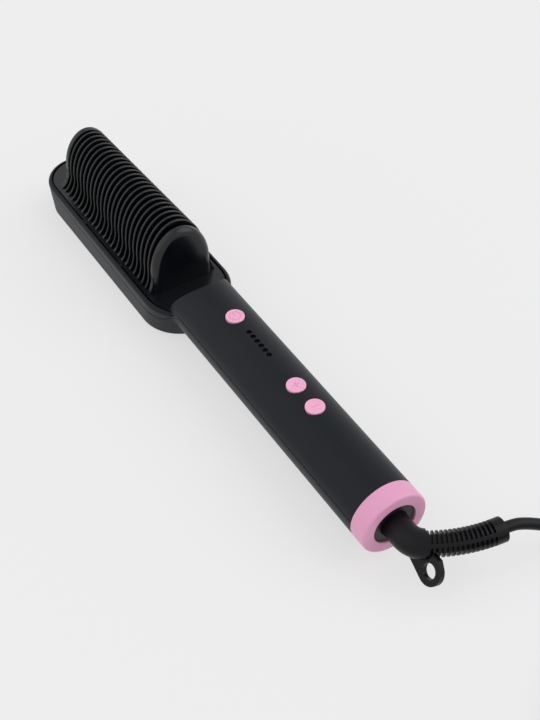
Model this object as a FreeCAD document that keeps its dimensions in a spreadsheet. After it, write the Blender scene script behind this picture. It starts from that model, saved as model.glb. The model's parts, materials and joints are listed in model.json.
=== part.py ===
import FreeCAD, Part
import Sketcher
import math
import os
from types import SimpleNamespace

from FreeCAD import Placement, Rotation, Vector

# Driving sizes in millimetres. X runs along the body from head to tail, Z up, floor at zero.
SIZES = {
    # whole body
    "body_length": 290.5,
    "handle_radius": 15.6,
    "axis_height": 19.9,
    "wall": 2.0,
    "clearance": 0.3,
    "running_clearance": 0.05,
    "overrun": 4.0,
    # head pan
    "floor_half_width": 20.6,
    "rim_half_width": 22.3,
    "rim_height": 19.3,
    "floor_far_inset": 1.8,
    "far_flat_half": 3.0,
    "floor_near_back": 31.0,
    "rim_near_back": 24.5,
    "pan_split": 8.9,
    "bottom_round": 2.6,
    "rim_round": 1.6,
    "rim_blend": 8.0,
    "split_blend": 5.0,
    "tongue_end": 4.0,
    # pocket for the comb guard
    "lip": 1.9,
    "groove": 0.9,
    "pocket_near_back": 26.5,
    "pocket_near_reach": 24.0,
    "ledge_height": 16.5,
    "ledge_width": 2.0,
    "bulkhead": 2.6,
    "passage_half_width": 6.0,
    "passage_bottom": 8.0,
    "passage_top": 15.0,
    # parting line between the shells
    "seam_far": 15.6,
    "seam_head": 13.0,
    "seam_handle": 22.0,
    "seam_slope_back": 40.0,
    "seam_lead": 7.0,
    "seam_rise_run": 16.0,
    "seam_gap": 0.3,
    # comb guard
    "plate_drop": 0.4,
    "tooth_pitch": 4.0,
    "tooth_thick": 1.2,
    "last_tooth_back": 32.5,
    "tooth_far_margin": 24.75,
    "tooth_foot_half": 17.8,
    "tooth_side_half": 15.4,
    "tooth_far_side_half": 12.9,
    "tooth_flare": 9.0,
    "dome_centre": 29.0,
    "dome_near_rise": 23.6,
    "dome_far_rise": 20.0,
    "end_wall_thick": 3.0,
    "end_wall_step": 4.1,
    "block_thick": 4.0,
    "block_near_back": 25.5,
    "block_drop": 1.6,
    "block_round": 3.4,
    "slot_half_width": 11.0,
    "clip_length": 4.0,
    "clip_near_back": 55.0,
    "clip_far_inset": 51.75,
    "clip_thick": 0.6,
    # heater
    "heater_half_width": 14.0,
    "heater_thick": 3.0,
    "heater_drop": 0.3,
    "heater_end_margin": 3.0,
    "fin_thick": 1.2,
    "fin_cover": 4.8,
    "element_width": 12.0,
    "element_inset": 16.0,
    "element_thick": 2.4,
    "sheet_margin": 1.5,
    "sheet_thick": 0.5,
    "clamp_width": 6.8,
    "clamp_gap": 4.0,
    "clamp_thick": 1.2,
    "clamp_foot": 3.0,
    "fuse_radius": 1.8,
    "fuse_length": 11.0,
    "sensor_radius": 1.5,
    "sensor_length": 7.0,
    "probe_gap": 3.5,
    "heater_boss_radius": 3.0,
    "heater_boss_inset": 5.0,
    # fasteners
    "screw_radius": 1.25,
    "screw_head_radius": 2.4,
    "screw_head_height": 1.6,
    "screw_length": 8.0,
    "case_screw_length": 18.0,
    "case_boss_radius": 3.4,
    "case_screw_front": 8.0,
    "case_screw_gap": 5.95,
    "case_head_depth": 3.0,
    # board and what stands on it
    "board_front": 14.5,
    "board_gap": 12.45,
    "board_side_room": 0.7,
    "deck_room": 9.9,
    "board_thick": 1.6,
    "post_radius": 2.6,
    "post_inset": 15.0,
    "post_margin": 3.9,
    "switch_width": 6.0,
    "switch_height": 3.5,
    "plunger_radius": 1.7,
    "plunger_rise": 1.5,
    "plunger_sunk": 1.0,
    "plunger_room": 0.8,
    "led_length": 1.6,
    "led_width": 0.8,
    "led_height": 0.6,
    "guide_thick": 1.2,
    "guide_width": 3.0,
    "guide_end": 3.0,
    "guide_recess": 0.7,
    "guide_drop": 0.5,
    "chip_width": 6.0,
    "chip_gap": 3.2,
    "chip_height": 1.6,
    "triac_length": 10.0,
    "triac_width": 4.6,
    "triac_room": 6.7,
    "triac_share": 0.4,
    "capacitor_length": 13.0,
    "capacitor_width": 7.0,
    "capacitor_room": 4.7,
    "capacitor_share": 0.53,
    "terminal_length": 8.0,
    "terminal_width": 12.0,
    "terminal_room": 7.7,
    "terminal_inset": 7.5,
    # buttons
    "button_radius": 4.45,
    "button_proud": 0.3,
    "button_edge": 0.5,
    "flange_radius": 5.5,
    "flange_thick": 1.0,
    "flange_gap": 1.7,
    "stem_radius": 2.0,
    "power_share": 0.16183,
    "plus_share": 0.52954,
    "minus_share": 0.6367,
    # indicator holes
    "light_count": 6,
    "light_first_share": 0.25064,
    "light_pitch": 3.32,
    "light_radius": 1.3,
    # tail ring and swivel
    "ring_length": 9.0,
    "ring_wall": 5.5,
    "ring_edge": 1.2,
    "ring_edge_share": 0.3,
    "spigot_length": 4.0,
    "housing_length": 15.0,
    "housing_wall": 2.0,
    "insert_recess": 0.8,
    "nose_wall": 0.9,
    "flange_step": 2.35,
    "swivel_flange_thick": 2.6,
    "insert_wall": 6.0,
    "contact_room": 3.1,
    "slip_ring_thick": 1.5,
    "slip_ring_width": 3.0,
    "slip_ring_space": 1.2,
    "contact_thick": 0.8,
    "contact_width": 2.2,
    "contact_half_length": 3.6,
    # strain relief
    "neck_reach": 13.3,
    "elbow_room": 2.75,
    "elbow_turn": 58.0,
    "sleeve_step": 0.85,
    "sleeve_bend": 70.0,
    "sleeve_turn": 26.5,
    "collar_length": 3.6,
    "rib_count": 14,
    "rib_slot": 1.15,
    "rib_depth": 1.5,
    "rib_spine": 1.6,
    "rib_spine_tilt": 45.0,
    "tab_thick": 2.4,
    "tab_radius": 6.2,
    "tab_hole_radius": 3.4,
    "tab_lean": 25.0,
    "tab_behind": 4.0,
    "tab_reach": 22.4,
    "tab_drop": 4.9,
    "tab_root": 2.6,
    "tab_root_drop": 4.6,
    "tab_crown_reach": 23.8,
    "tab_crown": 2.0,
    "tab_shoulder": 50.0,
    # cord and plug
    "cord_radius": 2.5,
    "trim_share": 0.45,
    "lead_straight": 5.2,
    "coil_outer": 40.0,
    "coil_pitch": 5.5,
    "coil_turns": 4,
    "plug_sleeve_radius": 4.2,
    "plug_sleeve_length": 20.0,
    "plug_length": 33.0,
    "plug_width": 18.0,
    "plug_height": 14.0,
    "plug_round": 3.5,
    "pin_radius": 2.0,
    "pin_length": 19.0,
    "pin_half_space": 4.6,
    # inner wires
    "wire_radius": 0.8,
    "wire_half_space": 4.6,
}

# Route of the free cord from the strain relief to the coil, and from the coil's end to the plug that lies on
# it, chosen by hand, in millimetres.
CORD_ROUTE = [
    (171.56, 44.84, 18.6),
    (173.76, 50.6, 16.5),
    (177.3, 58.6, 13.0),
    (183.6, 67.0, 9.2),
    (193.2, 74.0, 5.9),
    (206.0, 77.6, 3.6),
    (220.0, 78.0, 2.5),
]
COIL_START = (265.0, 78.0, 2.5)
TAIL_ROUTE = [
    (273.0, 78.0, 8.0),
    (282.5, 75.0, 11.0),
    (288.5, 67.5, 15.0),
    (290.5, 58.5, 17.8),
    (290.5, 50.0, 17.8),
]


def worked_out(d):
    """Sizes and places that follow from the driving ones."""
    tail_x = d.body_length / 2
    handle = tail_x - d.ring_length
    bore = d.handle_radius - d.wall
    pocket = d.rim_half_width - d.lip
    meeting = d.pocket_near_reach * math.sqrt(1 - (d.handle_radius / pocket) ** 2) - d.pocket_near_back
    tooth_steps = int(round((tail_x - d.tooth_far_margin - d.last_tooth_back) / d.tooth_pitch, 6))
    heater_length = d.tooth_pitch * tooth_steps + 2 * d.heater_end_margin
    element_length = heater_length - 2 * d.element_inset
    ring_bore = d.handle_radius - d.ring_wall
    flange_radius = ring_bore - 2 * d.clearance - d.nose_wall
    slip_ring_radius = flange_radius - d.contact_room
    neck_radius = flange_radius - d.flange_step
    housing_start = handle - d.spigot_length - d.clearance - d.housing_length
    board_end = housing_start - d.board_gap
    board_rise = bore - d.deck_room
    board_apart = max(abs(board_rise), abs(board_rise - d.board_thick))
    board_half = math.sqrt(bore ** 2 - board_apart ** 2) - d.board_side_room
    deck_depth = board_rise - d.board_thick + bore
    light_first = handle * d.light_first_share
    guide_finish = light_first + d.light_pitch * (d.light_count - 1) + d.guide_end
    chip_finish = handle * d.plus_share - d.switch_width / 2
    return {
        "seam_rise_back": d.seam_lead - meeting,
        "tooth_count": 1 + tooth_steps,
        "clip_far_back": tail_x - d.clip_far_inset,
        "element_length": element_length,
        "clamp_length": element_length + 2 * d.clamp_gap,
        "case_screw_rear": housing_start - d.case_screw_gap,
        "board_length": board_end - d.board_front,
        "board_half_width": board_half,
        "board_top": d.axis_height + board_rise,
        "post_side": board_half - d.post_margin,
        "chip_length": chip_finish - guide_finish - 2 * d.chip_gap,
        "chip_place": (chip_finish + guide_finish) / 2,
        "triac_height": deck_depth - d.triac_room,
        "triac_place": handle * d.triac_share,
        "capacitor_height": deck_depth - d.capacitor_room,
        "capacitor_place": handle * d.capacitor_share,
        "terminal_height": deck_depth - d.terminal_room,
        "terminal_place": board_end - d.terminal_inset,
        "flange_top": d.axis_height + bore - d.flange_gap,
        "power_place": handle * d.power_share,
        "plus_place": handle * d.plus_share,
        "minus_place": handle * d.minus_share,
        "light_first": light_first,
        "ring_bore": ring_bore,
        "swivel_flange_radius": flange_radius,
        "slip_ring_radius": slip_ring_radius,
        "stub_radius": slip_ring_radius - d.slip_ring_thick,
        "neck_radius": neck_radius,
        "sleeve_radius": neck_radius - d.sleeve_step,
        "elbow_radius": neck_radius + d.elbow_room,
    }


doc = FreeCAD.newDocument("hair_straightening_comb")
sheet = doc.addObject("Spreadsheet::Sheet", "sizes")
rows = {**SIZES, **worked_out(SimpleNamespace(**SIZES))}
for row, (alias, value) in enumerate(rows.items(), start=1):
    sheet.set(f"A{row}", alias)
    sheet.set(f"B{row}", str(value))
    sheet.setAlias(f"B{row}", alias)
doc.recompute()
s = SimpleNamespace(**{alias: float(sheet.get(alias)) for alias in rows})

tail = s.body_length / 2
head = -tail
shell_end = tail - s.ring_length
bore_radius = s.handle_radius - s.wall
plate_top = s.rim_height - s.plate_drop
pocket_half = s.rim_half_width - s.lip
half_turn = math.pi
quarter = math.pi / 2


# Helpers

def feature(label, shape):
    """Add a finished shape to the document under its own label."""
    piece = doc.addObject("Part::Feature", label)
    piece.Shape = shape
    piece.Placement = Placement()
    return piece


def primitive(kind, label, place, turn=None, **sizes):
    """Add a Part primitive whose sizes and place are bound to the sheet by expressions."""
    piece = doc.addObject(f"Part::{kind}", label)
    if turn:
        piece.Placement = Placement(Vector(), turn)
    for name, expression in sizes.items():
        piece.setExpression(name, expression)
    for axis, expression in zip("xyz", place):
        piece.setExpression(f"Placement.Base.{axis}", expression)
    return piece


def subtract(label, base, tool):
    """Cut one document object from another."""
    piece = doc.addObject("Part::Cut", label)
    piece.Base = base
    piece.Tool = tool
    return piece


def origin_plane(body, role):
    """Find a plane of a body's own origin by its role."""
    return next(item for item in body.Origin.OriginFeatures if item.Role == role)


def turned_body(label, profile, place, along_x=False):
    """Make a body by turning a closed profile of (radius, height) expressions about its own Z axis."""
    body = doc.addObject("PartDesign::Body", label)
    sketch = body.newObject("Sketcher::SketchObject", f"{label}_profile")
    sketch.AttachmentSupport = [(origin_plane(body, "XZ_Plane"), "")]
    sketch.MapMode = "FlatFace"
    count = len(profile)
    corners = [Vector(*(float(sheet_value(item)) for item in corner), 0) for corner in profile]
    for index in range(count):
        sketch.addGeometry(Part.LineSegment(corners[index], corners[(index + 1) % count]))
    for index in range(count):
        sketch.addConstraint(Sketcher.Constraint("Coincident", index, 2, (index + 1) % count, 1))
    for index, corner in enumerate(profile):
        for kind, item in zip(("DistanceX", "DistanceY"), corner):
            constraint = sketch.addConstraint(
                Sketcher.Constraint(kind, -1, 1, index, 1, float(sheet_value(item))))
            sketch.setExpression(f"Constraints[{constraint}]", item)
    turn = body.newObject("PartDesign::Revolution", f"{label}_turn")
    turn.Profile = sketch
    turn.ReferenceAxis = (sketch, ["V_Axis"])
    turn.Angle = 360
    if along_x:
        body.Placement = Placement(Vector(), Rotation(Vector(0, 1, 0), 90))
    for axis, expression in zip("xyz", place):
        body.setExpression(f"Placement.Base.{axis}", expression)
    return body


def sheet_value(expression):
    """Work out the value of an expression of the sheet."""
    return sheet.evalExpression(expression.replace("sizes.", ""))


def cylinder(radius, height, x, y, z, direction=Vector(0, 0, 1)):
    """A plain cylinder as a shape."""
    return Part.makeCylinder(radius, height, Vector(x, y, z), direction)


def block(x0, x1, y0, y1, z0, z1):
    """A box between two corners as a shape."""
    return Part.makeBox(x1 - x0, y1 - y0, z1 - z0, Vector(x0, y0, z0))


def arc(cx, cy, radius, start, end, level):
    """An arc in plan about a centre, by its two angles."""
    angles = (start, (start + end) / 2, end)
    points = [Vector(cx + radius * math.cos(a), cy + radius * math.sin(a), level) for a in angles]
    return Part.Arc(*points).toShape()


def line(x0, y0, x1, y1, level):
    """A straight edge in plan."""
    return Part.LineSegment(Vector(x0, y0, level), Vector(x1, y1, level)).toShape()


def prism(wire, height):
    """Raise a closed flat wire to a height."""
    return Part.Face(wire).extrude(Vector(0, 0, height))


# Head pan and handle: outlines in plan

def pan_sizes(level):
    """Half width, far end, far corner and near centre of the pan, which widens from floor to rim."""
    rise = level / s.rim_height
    half = s.floor_half_width + (s.rim_half_width - s.floor_half_width) * rise
    far = head + s.floor_far_inset * (1 - rise)
    near = -(s.floor_near_back + (s.rim_near_back - s.floor_near_back) * rise)
    return half, far, half - s.far_flat_half, near


def far_edges(half, far, corner, near, level):
    """Straight sides and far end of the head's outline, from the left side round to the right."""
    flat = half - corner
    return [
        line(near, half, far + corner, half, level),
        arc(far + corner, flat, corner, quarter, half_turn, level),
        line(far, flat, far, -flat, level),
        arc(far + corner, -flat, corner, half_turn, half_turn + quarter, level),
        line(far + corner, -half, near, -half, level),
    ]


def round_outline(half, far, corner, near, level):
    """Head outline with a half-round near end."""
    near_end = [arc(near, 0, half, -quarter, 0, level), arc(near, 0, half, 0, quarter, level)]
    return Part.Wire(far_edges(half, far, corner, near, level) + near_end)


def tongue_outline(half, far, corner, near, level, tongue_half, blend):
    """Head outline whose near end sweeps into a tongue as wide as the handle."""
    reach = math.sqrt((half + blend) ** 2 - (tongue_half + blend) ** 2)
    bend = near + reach
    side = tongue_half + blend
    angle = math.atan2(side, reach)
    end = s.tongue_end
    return Part.Wire(far_edges(half, far, corner, near, level) + [
        arc(near, 0, half, -quarter, -angle, level),
        arc(bend, -side, blend, half_turn - angle, quarter, level),
        line(bend, -tongue_half, end, -tongue_half, level),
        line(end, -tongue_half, end, tongue_half, level),
        line(end, tongue_half, bend, tongue_half, level),
        arc(bend, side, blend, -quarter, angle - half_turn, level),
        arc(near, 0, half, angle, quarter, level),
    ])


def pocket_outline(inset, level):
    """Outline of the pocket for the comb guard, drawn in by an inset; its near end is half an ellipse."""
    half = pocket_half - inset
    far = head + s.lip + inset
    near = -s.pocket_near_back
    oval = Part.Ellipse(Vector(near, 0, level), s.pocket_near_reach - inset, half)
    near_end = [Part.ArcOfEllipse(oval, -quarter, 0).toShape(), Part.ArcOfEllipse(oval, 0, quarter).toShape()]
    return Part.Wire(far_edges(half, far, half - s.far_flat_half, near, level) + near_end)


def handle_half(level):
    """Half width of the round handle at a level."""
    return math.sqrt(s.handle_radius ** 2 - (level - s.axis_height) ** 2)


def edges_at(shape, level, longest_x):
    """Edges of a shape that lie flat at a level and do not reach past a place along X."""
    box = [(edge, edge.BoundBox) for edge in shape.Edges]
    return [e for e, b in box if abs(b.ZMin - level) + abs(b.ZMax - level) < s.running_clearance
            and b.XMax < longest_x]


def body_envelope():
    """Outer form of head and handle as one solid."""
    outlines = [round_outline(*pan_sizes(level), level) for level in (0, s.pan_split)]
    lower = Part.makeLoft(outlines, True, True)
    lower = lower.makeFillet(s.bottom_round, edges_at(lower, 0, tail))
    split_half = handle_half(s.pan_split)
    rim_half = handle_half(s.rim_height)
    upper = Part.makeLoft([
        tongue_outline(*pan_sizes(s.pan_split), s.pan_split, split_half, s.split_blend),
        tongue_outline(*pan_sizes(s.rim_height), s.rim_height, rim_half, s.rim_blend)], True, True)
    upper = upper.makeFillet(s.rim_round, edges_at(upper, s.rim_height, 0))
    bar_start = -s.rim_near_back
    bar = cylinder(s.handle_radius, shell_end - bar_start, bar_start, 0, s.axis_height, Vector(1, 0, 0))
    return lower.fuse([upper, bar])


def pocket_solid():
    """Space of the comb guard above its ledge, cut right up through the front of the handle."""
    top = s.axis_height + s.handle_radius + s.overrun
    return prism(pocket_outline(0, s.ledge_height), top - s.ledge_height)


def body_cavity():
    """Hollow of head and handle, with the wire passage between them."""
    half, far, corner, near = pan_sizes(0)
    wall = s.wall
    pan = prism(round_outline(half - wall, far + wall, corner - wall, near, wall),
                s.ledge_height + s.running_clearance - wall)
    bore_start = s.pocket_near_reach - s.pocket_near_back + s.bulkhead
    bore_length = shell_end + s.overrun - bore_start
    bore = cylinder(bore_radius, bore_length, bore_start, 0, s.axis_height, Vector(1, 0, 0))
    passage = block(near, bore_start + s.overrun, -s.passage_half_width, s.passage_half_width,
                    s.passage_bottom, s.passage_top)
    return [pocket_solid(), pan, bore, passage]


def seam_side(upper):
    """Space above or below the parting line, half the seam gap away from it."""
    shift = s.seam_gap / 2 if upper else -s.seam_gap / 2
    limit = s.axis_height + (1 if upper else -1) * (s.handle_radius + s.rim_height)
    half = s.rim_half_width + s.overrun
    low = s.seam_head + shift
    high = s.seam_handle + shift
    rise_start = -s.seam_rise_back
    rise_end = rise_start + s.seam_rise_run
    step = s.seam_handle - s.seam_head
    radius = (s.seam_rise_run ** 2 + step ** 2) / (4 * step)
    turn = math.asin(s.seam_rise_run / 2 / radius)
    middle = Vector((rise_start + rise_end) / 2, -half, (low + high) / 2)
    first = Vector(rise_start + radius * math.sin(turn / 2), -half, low + radius * (1 - math.cos(turn / 2)))
    second = Vector(rise_end - radius * math.sin(turn / 2), -half, high - radius * (1 - math.cos(turn / 2)))
    corners = [Vector(head - s.overrun, -half, s.seam_far + shift), Vector(-s.seam_slope_back, -half, low),
               Vector(rise_start, -half, low)]
    far_end = [Vector(rise_end, -half, high), Vector(tail + s.overrun, -half, high),
               Vector(tail + s.overrun, -half, limit), Vector(head - s.overrun, -half, limit)]
    edges = [Part.LineSegment(a, b).toShape() for a, b in zip(corners, corners[1:])]
    edges.append(Part.Arc(corners[-1], first, middle).toShape())
    edges.append(Part.Arc(middle, second, far_end[0]).toShape())
    loop = far_end + corners[:1]
    edges += [Part.LineSegment(a, b).toShape() for a, b in zip(loop, loop[1:])]
    return Part.Face(Part.Wire(edges)).extrude(Vector(0, 2 * half, 0))


# Places shared by shells, board, heater and fasteners

button_places = {"power": s.power_place, "plus": s.plus_place, "minus": s.minus_place}
light_places = [s.light_first + s.light_pitch * k for k in range(int(s.light_count))]
case_places = [s.case_screw_front, s.case_screw_rear]
board_bottom = s.board_top - s.board_thick
board_end = s.board_front + s.board_length
post_places = [(s.board_front + s.post_inset, s.post_side), (board_end - s.post_inset, -s.post_side)]
tooth_places = [-s.last_tooth_back - s.tooth_pitch * k for k in range(int(s.tooth_count))]
far_wall_place = tooth_places[-1] - s.end_wall_step
heater_top = s.ledge_height - s.heater_drop
heater_bottom = heater_top - s.heater_thick
heater_near = tooth_places[0] + s.heater_end_margin
heater_far = tooth_places[-1] - s.heater_end_margin
heater_mid = (heater_near + heater_far) / 2
boss_side = s.heater_half_width - s.heater_boss_radius
heater_bosses = [(x, y) for x in (heater_far + s.heater_boss_inset, heater_near - s.heater_boss_inset)
                 for y in (-boss_side, boss_side)]
pilot_radius = s.screw_radius + s.running_clearance


# Shells

envelope = body_envelope()
hollow = envelope.cut(body_cavity())
handle_solid = cylinder(s.handle_radius - s.wall / 2, tail, 0, 0, s.axis_height, Vector(1, 0, 0))

upper = hollow.common(seam_side(True))
for place in case_places:
    foot = s.seam_handle + s.seam_gap / 2
    boss = cylinder(s.case_boss_radius, s.handle_radius, place, 0, foot).common(handle_solid)
    upper = upper.fuse(boss).cut(cylinder(pilot_radius, s.case_screw_length / 2, place, 0, foot))
openings = [cylinder(s.button_radius + s.clearance, s.handle_radius, x, 0, s.board_top)
            for x in button_places.values()]
openings += [cylinder(s.light_radius, s.handle_radius, x, 0, s.board_top) for x in light_places]
feature("upper_shell", upper.cut(openings).removeSplitter())

lower = hollow.common(seam_side(False))
lower_top = s.seam_handle - s.seam_gap / 2
handle_bottom = s.axis_height - s.handle_radius
for place in case_places:
    boss = cylinder(s.case_boss_radius, lower_top - s.axis_height + s.handle_radius, place, 0, handle_bottom)
    lower = lower.fuse(boss.common(handle_solid))
    head_room = s.case_head_depth + s.screw_head_height
    lower = lower.cut([
        cylinder(s.screw_radius + s.clearance, s.handle_radius * 2, place, 0, handle_bottom),
        cylinder(s.screw_head_radius + s.clearance, head_room, place, 0, handle_bottom)])
for x, y in post_places:
    post = cylinder(s.post_radius, board_bottom - handle_bottom, x, y, handle_bottom).common(handle_solid)
    lower = lower.fuse(post).cut(cylinder(pilot_radius, s.screw_length, x, y, s.board_top - s.screw_length))
for x, y in heater_bosses:
    lower = lower.fuse(cylinder(s.heater_boss_radius, heater_bottom - s.wall / 2, x, y, s.wall / 2))
    lower = lower.cut(cylinder(pilot_radius, s.screw_length, x, y, heater_top - s.screw_length))
feature("lower_shell", lower.removeSplitter())


# Comb guard and heater

def far_share(x):
    """How far along the row of teeth a place is, from its near end to its far end."""
    return (tooth_places[0] - x) / (tooth_places[0] - tooth_places[-1])


def dome_rise(x):
    """Height of the dome above its centre, which falls from the near end to the far end."""
    return s.dome_near_rise + (s.dome_far_rise - s.dome_near_rise) * far_share(x)


def side_half(x):
    """Half width of the dome, which narrows from the near end to the far end."""
    return s.tooth_side_half + (s.tooth_far_side_half - s.tooth_side_half) * far_share(x)


def dome_face(x, half, rise, bottom):
    """Flat domed face across the head: straight sides under half an ellipse."""
    centre = s.dome_centre
    oval = Part.Ellipse(Vector(x, 0, centre + rise), Vector(x, half, centre), Vector(x, 0, centre))
    top = Part.ArcOfEllipse(oval, -quarter, quarter).toShape()
    ends = sorted((v.Point for v in top.Vertexes), key=lambda p: p.y)
    feet = [Vector(x, -half, bottom), Vector(x, half, bottom)]
    edges = [Part.LineSegment(feet[0], ends[0]).toShape(), top, Part.LineSegment(ends[1], feet[1]).toShape(),
             Part.LineSegment(feet[1], feet[0]).toShape()]
    return Part.Face(Part.Wire(Part.__sortEdges__(edges)))


def flare(x, thick, half):
    """Concave feet on both sides of a tooth."""
    out = s.tooth_foot_half - half
    radius = (out ** 2 + s.tooth_flare ** 2) / (2 * out)
    turn = math.asin(s.tooth_flare / radius) / 2
    feet = []
    for sign in (-1, 1):
        top = Vector(x, sign * half, plate_top + s.tooth_flare)
        bow = Vector(x, sign * (half + radius * (1 - math.cos(turn))),
                     plate_top + s.tooth_flare - radius * math.sin(turn))
        tip = Vector(x, sign * s.tooth_foot_half, plate_top)
        root = Vector(x, sign * s.tooth_foot_half, s.ledge_height)
        inner = Vector(x, sign * s.slot_half_width, s.ledge_height)
        crown = Vector(x, sign * s.slot_half_width, plate_top + s.tooth_flare)
        loop = [tip, root, inner, crown, top]
        edges = [Part.Arc(top, bow, tip).toShape()]
        edges += [Part.LineSegment(a, b).toShape() for a, b in zip(loop, loop[1:])]
        feet.append(Part.Face(Part.Wire(edges)).extrude(Vector(thick, 0, 0)))
    return feet


def tooth(x, thick):
    """One tooth of the comb with its flared feet, centred at a place along the head."""
    start = x - thick / 2
    half = side_half(x)
    web = dome_face(start, half, dome_rise(x), s.ledge_height).extrude(Vector(thick, 0, 0))
    return web.fuse(flare(start, thick, half))


def near_block():
    """Solid end of the comb beside the handle, with a broad rounded edge towards the handle."""
    near = -s.block_near_back
    start = near - s.block_thick
    solid = dome_face(start, s.tooth_side_half, s.dome_near_rise - s.block_drop, s.ledge_height)
    solid = solid.extrude(Vector(s.block_thick, 0, 0))
    rim = [e for e in solid.Edges if abs(e.BoundBox.XMin - near) < s.running_clearance
           and e.BoundBox.ZMax > s.ledge_height + s.block_round]
    return solid.makeFillet(s.block_round, rim).fuse(flare(start, s.block_thick / 2, s.tooth_side_half))


guard = prism(pocket_outline(s.groove, s.ledge_height), plate_top - s.ledge_height)
gaps = [(a + b) / 2 for a, b in zip(tooth_places, tooth_places[1:])]
slot_half = (s.tooth_pitch - s.tooth_thick) / 2
slots = [block(x - slot_half, x + slot_half, -s.slot_half_width, s.slot_half_width,
               s.ledge_height - s.overrun, plate_top + s.overrun) for x in gaps]
guard = guard.cut(slots)
teeth = [tooth(x, s.tooth_thick) for x in tooth_places]
far_wall = tooth(far_wall_place, s.end_wall_thick)
clip_bottom = plate_top - s.clip_thick * 2
clips = [block(-back - s.clip_length / 2, -back + s.clip_length / 2, side * pocket_half - reach,
               side * pocket_half + s.groove - reach, clip_bottom, clip_bottom + s.clip_thick)
         for back in (s.clip_near_back, s.clip_far_back)
         for side, reach in ((-1, -s.running_clearance), (1, s.groove + s.running_clearance))]
guard = guard.fuse(teeth + [far_wall, near_block()] + clips)
feature("comb_guard", guard.removeSplitter())

heater = block(heater_far, heater_near, -s.heater_half_width, s.heater_half_width, heater_bottom, heater_top)
fins = [dome_face(x - s.fin_thick / 2, side_half(x) - s.fin_cover, dome_rise(x) - s.fin_cover, heater_bottom)
        .extrude(Vector(s.fin_thick, 0, 0)) for x in gaps]
heater = heater.fuse(fins)
heater = heater.cut([cylinder(s.screw_radius + s.clearance, s.heater_thick + s.overrun, x, y, heater_bottom)
                     for x, y in heater_bosses])
head_seat = heater_top - s.screw_head_height
heater = heater.cut([cylinder(s.screw_head_radius + s.clearance, s.overrun, x, y, head_seat)
                     for x, y in heater_bosses])
feature("heater_plate", heater.removeSplitter())

heater_mid_text = "-(sizes.last_tooth_back + sizes.tooth_pitch * (sizes.tooth_count - 1) / 2)"
heater_bottom_text = "(sizes.ledge_height - sizes.heater_drop - sizes.heater_thick)"
element_bottom_text = f"({heater_bottom_text} - sizes.element_thick)"
sheet_bottom_text = f"({element_bottom_text} - sizes.sheet_thick)"
primitive("Box", "heater_element",
          (f"{heater_mid_text} - sizes.element_length / 2", "-sizes.element_width / 2", element_bottom_text),
          Length="sizes.element_length", Width="sizes.element_width", Height="sizes.element_thick")
primitive("Box", "insulation_sheet",
          (f"{heater_mid_text} - sizes.element_length / 2 - sizes.sheet_margin",
           "-sizes.element_width / 2 - sizes.sheet_margin", sheet_bottom_text),
          Length="sizes.element_length + 2 * sizes.sheet_margin",
          Width="sizes.element_width + 2 * sizes.sheet_margin", Height="sizes.sheet_thick")
clamp_bar = primitive("Box", "clamp_bar",
                      (f"{heater_mid_text} - sizes.clamp_length / 2", "-sizes.clamp_width / 2",
                       f"{sheet_bottom_text} - sizes.clamp_thick"),
                      Length="sizes.clamp_length", Width="sizes.clamp_width",
                      Height=f"{heater_bottom_text} - {sheet_bottom_text} + sizes.clamp_thick")
clamp_room = primitive("Box", "clamp_room",
                       (f"{heater_mid_text} - sizes.clamp_length / 2 + sizes.clamp_thick",
                        "-sizes.element_width", sheet_bottom_text),
                       Length="sizes.clamp_length - 2 * sizes.clamp_thick", Width="2 * sizes.element_width",
                       Height=f"{heater_bottom_text} - {sheet_bottom_text} + sizes.overrun")
subtract("heater_clamp", clamp_bar, clamp_room)

along_x = Rotation(Vector(0, 1, 0), 90)
primitive("Cylinder", "thermal_fuse",
          (f"{heater_mid_text} + sizes.clamp_length / 2 + sizes.probe_gap / 2", "0",
           f"{heater_bottom_text} - sizes.fuse_radius"),
          along_x, Radius="sizes.fuse_radius", Height="sizes.fuse_length")
primitive("Cylinder", "temperature_sensor",
          (f"{heater_mid_text} - sizes.clamp_length / 2 - sizes.probe_gap / 2 - sizes.sensor_length", "0",
           f"{heater_bottom_text} - sizes.sensor_radius"),
          along_x, Radius="sizes.sensor_radius", Height="sizes.sensor_length")


# Fasteners

def screw(x, y, top, length, down=True):
    """Pan-head screw whose head bears at a level, pointing down or up."""
    way = -1 if down else 1
    axis = Vector(0, 0, way)
    crown = top - way * s.screw_head_height
    head_solid = cylinder(s.screw_head_radius, s.screw_head_height, x, y, crown, axis)
    return head_solid.fuse(cylinder(s.screw_radius, length, x, y, top, axis)).removeSplitter()


heater_screw_length = s.screw_length - s.screw_head_height - s.overrun / 2
feature("heater_screws", Part.Compound(
    [screw(x, y, heater_top - s.screw_head_height, heater_screw_length) for x, y in heater_bosses]))
feature("board_screws", Part.Compound(
    [screw(x, y, s.board_top, s.screw_length - s.overrun / 2) for x, y in post_places]))
case_seat = handle_bottom + s.case_head_depth + s.screw_head_height
feature("case_screws", Part.Compound(
    [screw(x, 0, case_seat, s.case_screw_length, False) for x in case_places]))


# Control board and what stands on it

board = block(s.board_front, board_end, -s.board_half_width, s.board_half_width, board_bottom, s.board_top)
board = board.cut([cylinder(s.screw_radius + s.clearance, s.board_thick + s.overrun, x, y, board_bottom)
                   for x, y in post_places])
feature("control_board", board)


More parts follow.
